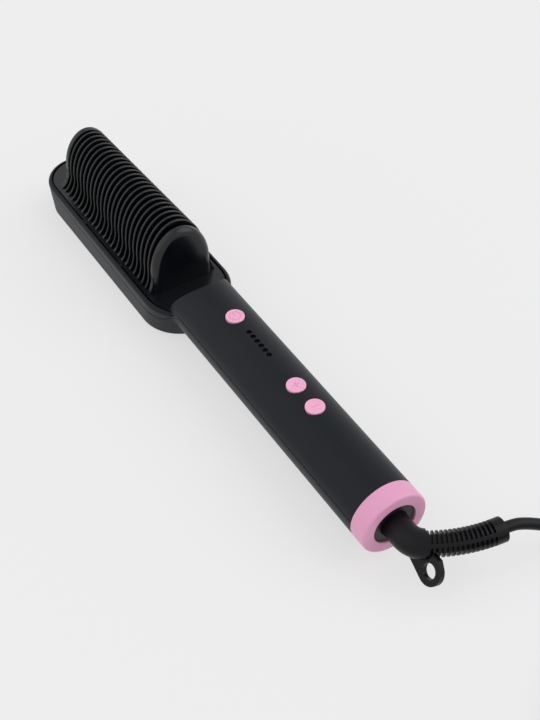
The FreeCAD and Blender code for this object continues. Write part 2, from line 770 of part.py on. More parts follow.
def button_set(name):
    """Switch body, plunger and cap of one push button, all standing over the same place of the board."""
    place = f"sizes.{name}_place"
    body = primitive("Box", f"{name}_switch_case",
                     (f"{place} - sizes.switch_width / 2", "-sizes.switch_width / 2", "sizes.board_top"),
                     Length="sizes.switch_width", Width="sizes.switch_width", Height="sizes.switch_height")
    depth = "sizes.plunger_sunk + sizes.plunger_room"
    room = primitive("Cylinder", f"{name}_switch_room",
                     (place, "0", f"sizes.board_top + sizes.switch_height - ({depth})"),
                     Radius="sizes.plunger_radius + sizes.running_clearance",
                     Height=f"{depth} + sizes.overrun")
    subtract(f"{name}_switch", body, room)
    primitive("Cylinder", f"{name}_plunger",
              (place, "0", "sizes.board_top + sizes.switch_height - sizes.plunger_sunk"),
              Radius="sizes.plunger_radius", Height="sizes.plunger_sunk + sizes.plunger_rise")
    stem_foot = "(sizes.board_top + sizes.switch_height + sizes.plunger_rise)"
    flange_low = f"(sizes.flange_top - sizes.flange_thick - {stem_foot})"
    flange_high = f"(sizes.flange_top - {stem_foot})"
    crown = f"(sizes.axis_height + sizes.handle_radius + sizes.button_proud - {stem_foot})"
    turned_body(f"{name}_button", [
        ("0 * sizes.stem_radius", "0 * sizes.stem_radius"),
        ("sizes.stem_radius", "0 * sizes.stem_radius"),
        ("sizes.stem_radius", flange_low),
        ("sizes.flange_radius", flange_low),
        ("sizes.flange_radius", flange_high),
        ("sizes.button_radius", flange_high),
        ("sizes.button_radius", f"{crown} - sizes.button_edge"),
        ("sizes.button_radius - sizes.button_edge", crown),
        ("0 * sizes.stem_radius", crown),
    ], (place, "0", stem_foot))


for name in button_places:
    button_set(name)

feature("indicator_leds", Part.Compound(
    [block(x - s.led_length / 2, x + s.led_length / 2, -s.led_width / 2, s.led_width / 2, s.board_top,
           s.board_top + s.led_height) for x in light_places]))

bore_top = s.axis_height + bore_radius
guide_top = bore_top - s.guide_drop
guide_start = light_places[0] - s.guide_end
guide_finish = light_places[-1] + s.guide_end
guide = block(guide_start, guide_finish, -s.guide_width / 2, s.guide_width / 2,
              guide_top - s.guide_thick, guide_top)
legs = [block(x, x + s.guide_thick, -s.guide_width / 2, s.guide_width / 2, s.board_top, guide_top)
        for x in (guide_start, guide_finish - s.guide_thick)]
light_top = s.axis_height + s.handle_radius - s.guide_recess
pins = [cylinder(s.light_radius - s.running_clearance, light_top - guide_top + s.guide_thick, x, 0,
                 guide_top - s.guide_thick) for x in light_places]
feature("light_guide", guide.fuse(legs + pins).removeSplitter())

primitive("Box", "control_chip",
          ("sizes.chip_place - sizes.chip_length / 2", "-sizes.chip_width / 2", "sizes.board_top"),
          Length="sizes.chip_length", Width="sizes.chip_width", Height="sizes.chip_height")
for name in ("triac", "capacitor", "terminal"):
    label = {"triac": "power_triac", "capacitor": "supply_capacitor", "terminal": "terminal_block"}[name]
    primitive("Box", label,
              (f"sizes.{name}_place - sizes.{name}_length / 2", f"-sizes.{name}_width / 2",
               f"sizes.board_top - sizes.board_thick - sizes.{name}_height"),
              Length=f"sizes.{name}_length", Width=f"sizes.{name}_width", Height=f"sizes.{name}_height")


# Tail ring, swivel housing and contacts

ring_front = "(sizes.body_length / 2 - sizes.ring_length)"
turned_body("tail_ring", [
    ("sizes.ring_bore", "0 * sizes.ring_length"),
    ("sizes.handle_radius - sizes.wall - sizes.clearance", "0 * sizes.ring_length"),
    ("sizes.handle_radius - sizes.wall - sizes.clearance", "sizes.spigot_length"),
    ("sizes.handle_radius", "sizes.spigot_length"),
    ("sizes.handle_radius", "sizes.spigot_length + sizes.ring_length - sizes.ring_edge"),
    ("sizes.handle_radius - sizes.ring_edge_share * sizes.ring_edge",
     "sizes.spigot_length + sizes.ring_length - sizes.ring_edge_share * sizes.ring_edge"),
    ("sizes.handle_radius - sizes.ring_edge", "sizes.spigot_length + sizes.ring_length"),
    ("sizes.ring_bore", "sizes.spigot_length + sizes.ring_length"),
], (f"{ring_front} - sizes.spigot_length + sizes.running_clearance", "0", "sizes.axis_height"), True)

insert_end = tail - s.insert_recess
housing_end = shell_end - s.spigot_length - s.clearance
housing_start = housing_end - s.housing_length
cap_start = insert_end - s.insert_wall
flange_end = cap_start - s.clearance
flange_start = flange_end - s.swivel_flange_thick
room_start = housing_start + s.housing_wall
axis_x = Vector(1, 0, 0)
z_axis = s.axis_height


def rod(radius, start, end):
    """Cylinder about the handle's axis between two places."""
    return cylinder(radius, end - start, start, 0, z_axis, axis_x)


housing = rod(bore_radius - s.clearance, housing_start, housing_end)
housing = housing.fuse(rod(s.ring_bore - s.clearance, housing_end - s.wall, insert_end))
housing = housing.cut([rod(s.swivel_flange_radius + s.clearance, room_start, cap_start),
                       rod(s.neck_radius + s.clearance, cap_start - s.clearance, insert_end + s.overrun)])
split = s.running_clearance
span = 2 * s.handle_radius
halves = {
    "swivel_housing_upper": block(housing_start, tail, -span, span, z_axis + split, z_axis + span),
    "swivel_housing_lower": block(housing_start, tail, -span, span, z_axis - span, z_axis - split),
}
ring_end = flange_start - s.slip_ring_space
ring_spots = [ring_end - s.slip_ring_width, ring_end - 2 * s.slip_ring_width - s.slip_ring_space]
wire_holes = [rod(s.wire_radius * 2, housing_start - s.overrun, room_start + s.overrun)]
for label, half in halves.items():
    feature(label, housing.cut(wire_holes).common(half).removeSplitter())

contact_bottom = z_axis + s.slip_ring_radius + s.clearance
contact_rise = s.swivel_flange_radius + s.clearance - s.slip_ring_radius - s.clearance
contacts = []
for spot in ring_spots:
    middle = spot + s.slip_ring_width / 2
    strip = block(middle - s.contact_width / 2, middle + s.contact_width / 2, -s.contact_half_length,
                  s.contact_half_length, contact_bottom, contact_bottom + s.contact_thick)
    foot = block(middle - s.contact_width / 2, middle + s.contact_width / 2, -s.contact_thick / 2,
                 s.contact_thick / 2, contact_bottom, contact_bottom + contact_rise)
    contacts.append(strip.fuse(foot).removeSplitter())
feature("contact_springs", Part.Compound(contacts))
feature("slip_rings", Part.Compound(
    [rod(s.slip_ring_radius, x, x + s.slip_ring_width).cut(rod(s.stub_radius, x, x + s.slip_ring_width))
     for x in ring_spots]))


# Strain relief: neck, elbow, ribbed sleeve and hang tab

elbow_start = cap_start + s.neck_reach
elbow_turn = math.radians(s.elbow_turn)
sleeve_turn = math.radians(s.sleeve_turn)
end_turn = elbow_turn + sleeve_turn
elbow_end = Vector(elbow_start + s.elbow_radius * math.sin(elbow_turn),
                   s.elbow_radius * (1 - math.cos(elbow_turn)), z_axis)
bend_inward = Vector(-math.sin(elbow_turn), math.cos(elbow_turn), 0)
bend_centre = elbow_end + bend_inward * s.sleeve_bend


def on_bend(turn):
    """Place on the sleeve's centre line where it heads at an angle from the handle's axis."""
    return bend_centre + Vector(s.sleeve_bend * math.sin(turn), -s.sleeve_bend * math.cos(turn), 0)


def heading(turn):
    """Level direction at an angle from the handle's axis."""
    return Vector(math.cos(turn), math.sin(turn), 0)


def swept(path, radius, place, direction):
    """Round tube along a path."""
    ring = Part.Wire(Part.Circle(place, direction, radius).toShape())
    return path.makePipeShell([ring], True, False)


elbow_mid = Vector(elbow_start + s.elbow_radius * math.sin(elbow_turn / 2),
                   s.elbow_radius * (1 - math.cos(elbow_turn / 2)), z_axis)
elbow_first = Vector(elbow_start, 0, z_axis)
elbow_path = Part.Wire(Part.Arc(elbow_first, elbow_mid, elbow_end).toShape())
sleeve_end = on_bend(end_turn)
sleeve_path = Part.Wire(Part.Arc(elbow_end, on_bend(elbow_turn + sleeve_turn / 2), sleeve_end).toShape())
neck = rod(s.neck_radius, flange_start, elbow_start)
relief = neck.fuse([
    rod(s.swivel_flange_radius, flange_start, flange_end),
    rod(s.stub_radius, ring_spots[-1], flange_start),
    swept(elbow_path, s.neck_radius, elbow_first, axis_x),
    swept(sleeve_path, s.sleeve_radius, elbow_end, heading(elbow_turn)),
])

collar_turn = s.collar_length / s.sleeve_bend
rib_step = (sleeve_turn - collar_turn) / (s.rib_count + 1)
rib_turns = [elbow_turn + rib_step * (k + 1) for k in range(int(s.rib_count))]
slots = []
for turn in rib_turns:
    way = heading(turn)
    base = on_bend(turn) - way * (s.rib_slot / 2)
    outer = Part.makeCylinder(s.sleeve_radius + s.overrun, s.rib_slot, base, way)
    slots.append(outer.cut(Part.makeCylinder(s.sleeve_radius - s.rib_depth, s.rib_slot, base, way)))
side_way = Vector(math.sin(elbow_turn), -math.cos(elbow_turn), 0)
tilt = math.radians(s.rib_spine_tilt)
spine_long = side_way * math.cos(tilt) + Vector(0, 0, math.sin(tilt))
spine_wide = Vector(0, 0, math.cos(tilt)) - side_way * math.sin(tilt)
reach = s.sleeve_radius * 2
corners = [elbow_end + spine_long * a * reach + spine_wide * b * (s.rib_spine / 2)
           for a, b in ((-1, -1), (1, -1), (1, 1), (-1, 1))]
spine_face = Part.Face(Part.makePolygon(corners + corners[:1]))
spine = spine_face.revolve(bend_centre, Vector(0, 0, 1), s.sleeve_turn)
relief = relief.cut([slot.cut(spine) for slot in slots])

lean = math.radians(s.tab_lean)
tab_out = Vector(0, -math.cos(lean), math.sin(lean))
tab_down = Vector(0, -math.sin(lean), -math.cos(lean))
tab_base = Vector(0, 0, z_axis) - tab_out * (s.tab_behind + s.tab_thick / 2)


def on_tab(x, drop):
    """Place on the back face of the hang tab, by its place along the handle and its drop from the axis."""
    return tab_base + axis_x * x + tab_down * drop


def on_tab_round(turn):
    """Place on the round end of the hang tab, by its angle about the hole."""
    return on_tab(hole_x + s.tab_radius * math.cos(turn), s.tab_drop + s.tab_radius * math.sin(turn))


hole_x = tail + s.tab_reach
root_x = tail + s.tab_root
root_way = math.atan2(s.tab_root_drop - s.tab_drop, root_x - hole_x)
root_apart = math.hypot(s.tab_root_drop - s.tab_drop, root_x - hole_x)
first_turn = root_way - math.acos(s.tab_radius / root_apart) + 2 * half_turn
last_turn = -math.radians(s.tab_shoulder)
round_end = [on_tab_round(turn) for turn in (first_turn, (first_turn + last_turn) / 2, last_turn)]
tab_loop = [round_end[2], on_tab(tail + s.tab_crown_reach, -s.tab_crown),
            on_tab(elbow_start + s.neck_radius, -s.tab_crown), on_tab(root_x, s.tab_root_drop), round_end[0]]
tab_edges = [Part.Arc(*round_end).toShape()]
tab_edges += [Part.LineSegment(a, b).toShape() for a, b in zip(tab_loop, tab_loop[1:])]
tab = Part.Face(Part.Wire(tab_edges)).extrude(tab_out * s.tab_thick)
hole = Part.makeCylinder(s.tab_hole_radius, s.tab_thick + 2 * s.overrun,
                         on_tab(hole_x, s.tab_drop) - tab_out * s.overrun, tab_out)
feature("strain_relief", relief.fuse(tab).cut(hole).removeSplitter())


# Cord, coil and plug

def tube_path(points):
    """Straight runs joined by tangent arcs, each as large as its two runs allow; also gives the radii."""
    edges = []
    radii = []
    start = points[0]
    for before, corner, after in zip(points, points[1:], points[2:]):
        back = before - corner
        ahead = after - corner
        turn = math.pi - back.getAngle(ahead)
        trim = s.trim_share * min(back.Length, ahead.Length)
        radii.append(trim / math.tan(turn / 2))
        back.normalize()
        ahead.normalize()
        entry = corner + back * trim
        leave = corner + ahead * trim
        inward = (back + ahead).normalize()
        middle = corner + inward * (radii[-1] / math.cos(turn / 2) - radii[-1])
        edges.append(Part.LineSegment(start, entry).toShape())
        edges.append(Part.Arc(entry, middle, leave).toShape())
        start = leave
    edges.append(Part.LineSegment(start, points[-1]).toShape())
    return Part.Wire(edges), radii


def tube(points, radius):
    """Round tube along straight runs and tangent arcs."""
    path, radii = tube_path(points)
    solid = swept(path, radius, points[0], (points[1] - points[0]).normalize())
    return solid, path.Length, radii


def report_tube(label, solid, length, radius):
    """Compare a tube's volume with its section times its length."""
    expected = math.pi * radius ** 2 * length
    print(f"{label}: length {length:.1f} mm, volume / expected {solid.Volume / expected:.4f}")


coil_start = Vector(*COIL_START)
cord_step = Vector(2 * s.cord_radius, 0, 0)
lead_points = [sleeve_end, sleeve_end + heading(end_turn) * s.lead_straight]
lead_points += [Vector(*p) for p in CORD_ROUTE] + [coil_start - cord_step]
lead, lead_length, lead_radii = tube(lead_points, s.cord_radius)
print("cord radii", [round(r, 1) for r in lead_radii])
report_tube("cord lead", lead, lead_length, s.cord_radius)
feature("cord_lead", lead)

layer = Vector(0, 0, s.coil_pitch)
half_turns = int(2 * s.coil_turns)
place = coil_start
side = 1
coil_edges = [Part.LineSegment(coil_start - cord_step, coil_start).toShape()]


def half_loop(start, radius, way, climb):
    """Half a turn of the coil from its far or near end, with a climb; gives its edge and its end."""
    across = Vector(0, -2 * radius * way, 0) + climb
    middle = start + across / 2 + Vector(way * across.Length / 2, 0, 0)
    return Part.Arc(start, middle, start + across).toShape(), start + across


loops = [(s.coil_outer - s.coil_pitch / 2 * k, Vector()) for k in range(half_turns)]
loops += [(s.coil_outer - s.coil_pitch / 2 * half_turns, layer)]
loops += [(s.coil_outer - s.coil_pitch / 2 * k, Vector()) for k in reversed(range(1, half_turns))]
for radius, climb in loops:
    edge, place = half_loop(place, radius, side, climb)
    coil_edges.append(edge)
    side = -side
coil_path = Part.Wire(coil_edges)
coil = swept(coil_path, s.cord_radius, coil_start - cord_step, axis_x)
report_tube("cord coil", coil, coil_path.Length, s.cord_radius)
samples = coil_path.discretize(Distance=s.cord_radius / 2)
inner_half_turn = math.pi * (s.coil_outer - s.coil_pitch / 2 * half_turns)
skip = int(inner_half_turn * len(samples) / coil_path.Length)
least = min((a - b).Length for i, a in enumerate(samples) for b in samples[i + skip:])
print(f"coil least gap {least - 2 * s.cord_radius:.2f} mm")
feature("cord_coil", coil)

tail_points = [place] + [Vector(*p) for p in TAIL_ROUTE]
tail_tube, tail_length, tail_radii = tube(tail_points, s.cord_radius)
tail_end = tail_points[-1]
print("tail radii", [round(r, 1) for r in tail_radii])
report_tube("cord tail", tail_tube, tail_length, s.cord_radius)
feature("cord_tail", tail_tube)

plug_back = tail_end.y - s.plug_sleeve_length
plug_front = plug_back - s.plug_length
plug_low = tail_end.z - s.plug_height / 2
plug = block(tail_end.x - s.plug_width / 2, tail_end.x + s.plug_width / 2, plug_front, plug_back, plug_low,
             plug_low + s.plug_height)
plug = plug.makeFillet(s.plug_round, [e for e in plug.Edges if e.BoundBox.YLength > s.plug_round])
sleeve = Part.makeCone(s.plug_sleeve_radius, s.plug_height / 2 - s.running_clearance, s.plug_sleeve_length,
                       tail_end, Vector(0, -1, 0))
pin_spots = [tail_end.x - s.pin_half_space, tail_end.x + s.pin_half_space]
feature("plug_body", plug.fuse(sleeve).removeSplitter())
feature("plug_pins", Part.Compound(
    [Part.makeCylinder(s.pin_radius, s.pin_length, Vector(x, plug_front, tail_end.z), Vector(0, -1, 0))
     for x in pin_spots]))
print(f"cord in all {lead_length + coil_path.Length + tail_length:.0f} mm")


# Wires held inside

def wire_pair(label, runs):
    """Two insulated wires side by side along the same route."""
    solids = []
    for sign in (-1, 1):
        points = [Vector(x, y + sign * s.wire_half_space, z) for x, y, z in runs]
        solids.append(tube(points, s.wire_radius)[0])
    feature(label, Part.Compound(solids))


passage_mid = (s.passage_bottom + s.passage_top) / 2
wire_front = s.board_front + s.post_inset / 2
element_end = heater_mid + s.element_length / 2
element_mid = heater_bottom - s.element_thick / 2
wire_pair("heater_wires", [
    (element_end, 0, element_mid),
    (element_end + 2 * s.clamp_foot, 0, element_mid),
    (heater_near, 0, passage_mid - s.clamp_foot / 2),
    (s.bulkhead, 0, passage_mid),
    (wire_front, 0, board_bottom - s.wire_radius),
])
terminal_end = s.terminal_place + s.terminal_length / 2
terminal_mid = board_bottom - s.terminal_height / 2
wire_pair("supply_wires", [(terminal_end, 0, terminal_mid), (housing_start, 0, terminal_mid)])
doc.recompute()

labels = [
    "upper_shell", "lower_shell", "comb_guard", "heater_plate", "heater_element", "insulation_sheet",
    "heater_clamp", "heater_screws", "thermal_fuse", "temperature_sensor", "control_board", "board_screws",
    "power_switch", "plus_switch", "minus_switch", "power_plunger", "plus_plunger", "minus_plunger",
    "power_button", "plus_button", "minus_button", "indicator_leds", "light_guide", "control_chip",
    "power_triac", "supply_capacitor", "terminal_block", "heater_wires", "supply_wires", "tail_ring",
    "swivel_housing_upper", "swivel_housing_lower", "contact_springs", "case_screws", "strain_relief",
    "slip_rings", "cord_lead", "cord_coil", "cord_tail", "plug_body", "plug_pins",
]
for item in doc.Objects:
    if any(state in item.State for state in ("Invalid", "Error")):
        raise RuntimeError(f"{item.Label} failed: {item.State}")
os.makedirs("parts", exist_ok=True)
for label in labels:
    shape = doc.getObjectsByLabel(label)[0].Shape
    if shape.isNull() or not shape.isValid():
        raise RuntimeError(f"{label} has no valid shape")
    shape.exportStep(f"parts/{label}.step")
    box = shape.BoundBox
    print(f"{label}: {len(shape.Solids)} solids, {shape.Volume:.0f} mm3, x {box.XMin:.1f} {box.XMax:.1f}, "
          f"y {box.YMin:.1f} {box.YMax:.1f}, z {box.ZMin:.1f} {box.ZMax:.1f}")
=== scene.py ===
"""Dressed scene of a hair straightening comb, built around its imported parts."""
import json
import logging
import math
from dataclasses import dataclass
from enum import Enum
from typing import Callable, Iterable, Mapping

import bpy
from mathutils import Euler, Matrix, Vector


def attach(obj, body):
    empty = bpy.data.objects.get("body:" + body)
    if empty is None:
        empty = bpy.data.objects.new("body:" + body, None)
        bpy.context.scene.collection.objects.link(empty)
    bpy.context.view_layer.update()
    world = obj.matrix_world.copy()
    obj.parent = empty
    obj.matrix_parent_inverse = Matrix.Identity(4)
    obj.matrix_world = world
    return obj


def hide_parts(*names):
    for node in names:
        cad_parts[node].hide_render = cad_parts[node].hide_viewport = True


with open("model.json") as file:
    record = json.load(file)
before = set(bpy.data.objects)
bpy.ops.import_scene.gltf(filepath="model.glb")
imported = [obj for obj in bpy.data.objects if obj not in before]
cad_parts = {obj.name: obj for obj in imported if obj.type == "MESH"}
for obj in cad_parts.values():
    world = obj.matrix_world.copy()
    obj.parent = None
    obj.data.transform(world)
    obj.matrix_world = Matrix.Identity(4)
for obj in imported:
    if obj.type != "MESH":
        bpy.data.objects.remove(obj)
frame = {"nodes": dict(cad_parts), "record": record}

LOG = logging.getLogger("hair_straightening_comb")
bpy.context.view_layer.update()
MM = 0.001
# Least part of a unit normal along an axis for a face to count as facing that way.
FACING = 0.9
# Farthest that a point lies off a level, and off a circle, to count as on it, in metres.
LEVEL_TOLERANCE, CIRCLE_TOLERANCE = 1e-6, 2e-5
# Numbers of the colour mix node's two colour inputs and of its colour output, whose names are shared.
COLOUR_A, COLOUR_B, COLOUR_OUT = 6, 7, 2


class Rider(Enum):
    """Moving groups of the comb."""

    BODY = "root"
    POWER = "power_button"
    PLUS = "plus_button"
    MINUS = "minus_button"
    SWIVEL = "cord_swivel"


class Sign(Enum):
    """Generic signs sunk into the button tops."""

    POWER = "power"
    PLUS = "plus"
    MINUS = "minus"


# Shader helpers

def srgb(code: str) -> tuple[float, float, float, float]:
    """Turn an sRGB hex colour into linear values.

    Args:
        code: Six hex digits, with or without a leading hash.

    Returns:
        Linear red, green and blue, and full alpha.
    """
    digits = code.lstrip("#")
    parts = [int(digits[i:i + 2], 16) / 255 for i in (0, 2, 4)]
    red, green, blue = (c / 12.92 if c <= 0.04045 else ((c + 0.055) / 1.055) ** 2.4 for c in parts)
    return red, green, blue, 1.0


def add_node(tree: bpy.types.NodeTree, kind: str, inputs: Mapping, **settings: object) -> bpy.types.Node:
    """Add a shader node with its settings and links.

    Args:
        tree: Node tree that takes the node.
        kind: Type name of the node.
        inputs: Socket name or number to a value, or to an output socket that is linked to it.
        settings: Properties of the node itself.

    Returns:
        The new node.
    """
    node = tree.nodes.new(kind)
    for name, value in settings.items():
        setattr(node, name, value)
    for key, value in inputs.items():
        if isinstance(value, bpy.types.NodeSocket):
            tree.links.new(value, node.inputs[key])
        else:
            node.inputs[key].default_value = value
    return node


def new_tree(name: str) -> tuple[bpy.types.Material, bpy.types.NodeTree]:
    """Make an empty node material.

    Args:
        name: Name of the material.

    Returns:
        The material and its node tree.
    """
    material = bpy.data.materials.new(name)
    material.use_nodes = True
    material.node_tree.nodes.clear()
    return material, material.node_tree


def per_metre(size_mm: float) -> float:
    """Give the texture scale whose features are about a size in millimetres.

    Args:
        size_mm: Size of the features.

    Returns:
        The scale for a texture in metres.
    """
    return 1.0 / (size_mm * MM)


# Finishes

@dataclass(frozen=True)
class PartingLine:
    """Line where the two shells meet: low along the head, rising to the middle of the handle. Along it the
    colour is darkened towards black as painted shade of the gap between the shells, over a shallow bumped
    groove.
    """

    far_mm: tuple[float, float] = (-143.0, 15.6)
    head_mm: tuple[float, float] = (-40.0, 13.0)
    rise_mm: tuple[float, float] = (-17.0, 0.0)
    handle_mm: float = 22.0
    half_width_mm: float = 0.5
    core_share: float = 0.4
    # Share of black mixed into the colour on the line: painted shade of the gap between the shells.
    gap_shade_paint: float = 0.85
    depth_mm: float = 0.25

    def mask(self, tree: bpy.types.NodeTree, place: bpy.types.NodeSocket) -> bpy.types.NodeSocket:
        """Build nodes that give 1 on the line and 0 beside it.

        Args:
            tree: Node tree of the material.
            place: Socket with the object coordinates.

        Returns:
            Socket with the mask.
        """
        axes = add_node(tree, "ShaderNodeSeparateXYZ", {"Vector": place})
        slope = add_node(tree, "ShaderNodeMapRange", {
            "Value": axes.outputs["X"], "From Min": self.far_mm[0] * MM, "From Max": self.head_mm[0] * MM,
            "To Min": self.far_mm[1] * MM, "To Max": self.head_mm[1] * MM})
        rise = add_node(tree, "ShaderNodeMapRange", {
            "Value": axes.outputs["X"], "From Min": self.rise_mm[0] * MM, "From Max": self.rise_mm[1] * MM,
            "To Min": 0.0, "To Max": (self.handle_mm - self.head_mm[1]) * MM},
            interpolation_type="SMOOTHSTEP")
        height = add_node(tree, "ShaderNodeMath", {
            0: slope.outputs["Result"], 1: rise.outputs["Result"]}, operation="ADD")
        away = add_node(tree, "ShaderNodeMath", {
            0: axes.outputs["Z"], 1: height.outputs["Value"]}, operation="SUBTRACT")
        distance = add_node(tree, "ShaderNodeMath", {0: away.outputs["Value"]}, operation="ABSOLUTE")
        edge = add_node(tree, "ShaderNodeMapRange", {
            "Value": distance.outputs["Value"], "From Min": self.half_width_mm * self.core_share * MM,
            "From Max": self.half_width_mm * MM, "To Min": 1.0, "To Max": 0.0},
            interpolation_type="SMOOTHSTEP")
        return edge.outputs["Result"]


@dataclass(frozen=True)
class Moulded:
    """Injection-moulded or dipped polymer: a faint mottle in the colour and a fine spark-eroded grain.

    The grain breaks up the highlight, and the mottle keeps large faces from looking painted.
    """

    name: str
    colour: str
    mottle: str
    roughness: float
    spread: float = 0.06
    grain_mm: float = 0.7
    grain_depth_mm: float = 0.012
    mottle_mm: float = 14.0
    grain_strength: float = 0.6
    ior: float = 1.5
    specular: float = 0.5
    coat: float = 0.0
    coat_roughness: float = 0.3
    subsurface: float = 0.0
    # Parting line: a bumped groove, with painted shade darkening the colour along it.
    parting: PartingLine | None = None

    def material(self) -> bpy.types.Material:
        """Build the material.

        Returns:
            The node material.
        """
        material, tree = new_tree(self.name)
        place = add_node(tree, "ShaderNodeTexCoord", {}).outputs["Object"]
        cloud = add_node(tree, "ShaderNodeTexNoise", {
            "Vector": place, "Scale": per_metre(self.mottle_mm), "Detail": 3.0, "Roughness": 0.55})
        grain = add_node(tree, "ShaderNodeTexNoise", {
            "Vector": place, "Scale": per_metre(self.grain_mm), "Detail": 2.0, "Roughness": 0.6})
        colour = add_node(tree, "ShaderNodeMix", {
            "Factor": cloud.outputs["Fac"], COLOUR_A: srgb(self.colour), COLOUR_B: srgb(self.mottle)},
            data_type="RGBA")
        rough = add_node(tree, "ShaderNodeMapRange", {
            "Value": grain.outputs["Fac"], "To Min": self.roughness - self.spread,
            "To Max": self.roughness + self.spread})
        bump = add_node(tree, "ShaderNodeBump", {
            "Height": grain.outputs["Fac"], "Strength": self.grain_strength,
            "Distance": self.grain_depth_mm * MM})
        tint = colour.outputs[COLOUR_OUT]
        relief = bump.outputs["Normal"]
        if self.parting:
            line = self.parting.mask(tree, place)
            # Painted shade: the colour is mixed towards black along the parting line in place of the gap's
            # shade; the bump below is the groove's relief.
            share = add_node(tree, "ShaderNodeMath", {
                0: line, 1: self.parting.gap_shade_paint}, operation="MULTIPLY")
            tint = add_node(tree, "ShaderNodeMix", {
                "Factor": share.outputs["Value"], COLOUR_A: tint, COLOUR_B: srgb("#000000")},
                data_type="RGBA").outputs[COLOUR_OUT]
            relief = add_node(tree, "ShaderNodeBump", {
                "Height": line, "Distance": self.parting.depth_mm * MM, "Normal": relief},
                invert=True).outputs["Normal"]
        shader = add_node(tree, "ShaderNodeBsdfPrincipled", {
            "Base Color": tint, "Roughness": rough.outputs["Result"], "IOR": self.ior,
            "Specular IOR Level": self.specular, "Normal": relief, "Coat Weight": self.coat,
            "Coat Roughness": self.coat_roughness, "Subsurface Weight": self.subsurface,
            "Subsurface Scale": MM})
        add_node(tree, "ShaderNodeOutputMaterial", {"Surface": shader.outputs["BSDF"]})
        return material


@dataclass(frozen=True)
class Metal:
    """Bare or plated metal with drawn lines along one direction.

    The lines stretch the highlight across them, as on strip, wire and turned work.
    """

    name: str
    colour: str
    shade: str
    roughness: float
    line_mm: float = 0.25
    line_stretch: tuple[float, float, float] = (0.04, 1.0, 1.0)
    line_depth_mm: float = 0.004
    line_strength: float = 0.5
    dullest: float = 1.3
    brightest: float = 0.75

    def material(self) -> bpy.types.Material:
        """Build the material.

        Returns:
            The node material.
        """
        material, tree = new_tree(self.name)
        place = add_node(tree, "ShaderNodeTexCoord", {}).outputs["Object"]
        drawn = add_node(tree, "ShaderNodeMapping", {"Vector": place, "Scale": self.line_stretch})
        lines = add_node(tree, "ShaderNodeTexNoise", {
            "Vector": drawn.outputs["Vector"], "Scale": per_metre(self.line_mm), "Detail": 3.0})
        colour = add_node(tree, "ShaderNodeMix", {
            "Factor": lines.outputs["Fac"], COLOUR_A: srgb(self.colour), COLOUR_B: srgb(self.shade)},
            data_type="RGBA")
        rough = add_node(tree, "ShaderNodeMapRange", {
            "Value": lines.outputs["Fac"], "To Min": self.roughness * self.brightest,
            "To Max": self.roughness * self.dullest})
        bump = add_node(tree, "ShaderNodeBump", {
            "Height": lines.outputs["Fac"], "Strength": self.line_strength,
            "Distance": self.line_depth_mm * MM})
        shader = add_node(tree, "ShaderNodeBsdfPrincipled", {
            "Base Color": colour.outputs[COLOUR_OUT], "Metallic": 1.0,
            "Roughness": rough.outputs["Result"], "Normal": bump.outputs["Normal"]})
        add_node(tree, "ShaderNodeOutputMaterial", {"Surface": shader.outputs["BSDF"]})
        return material


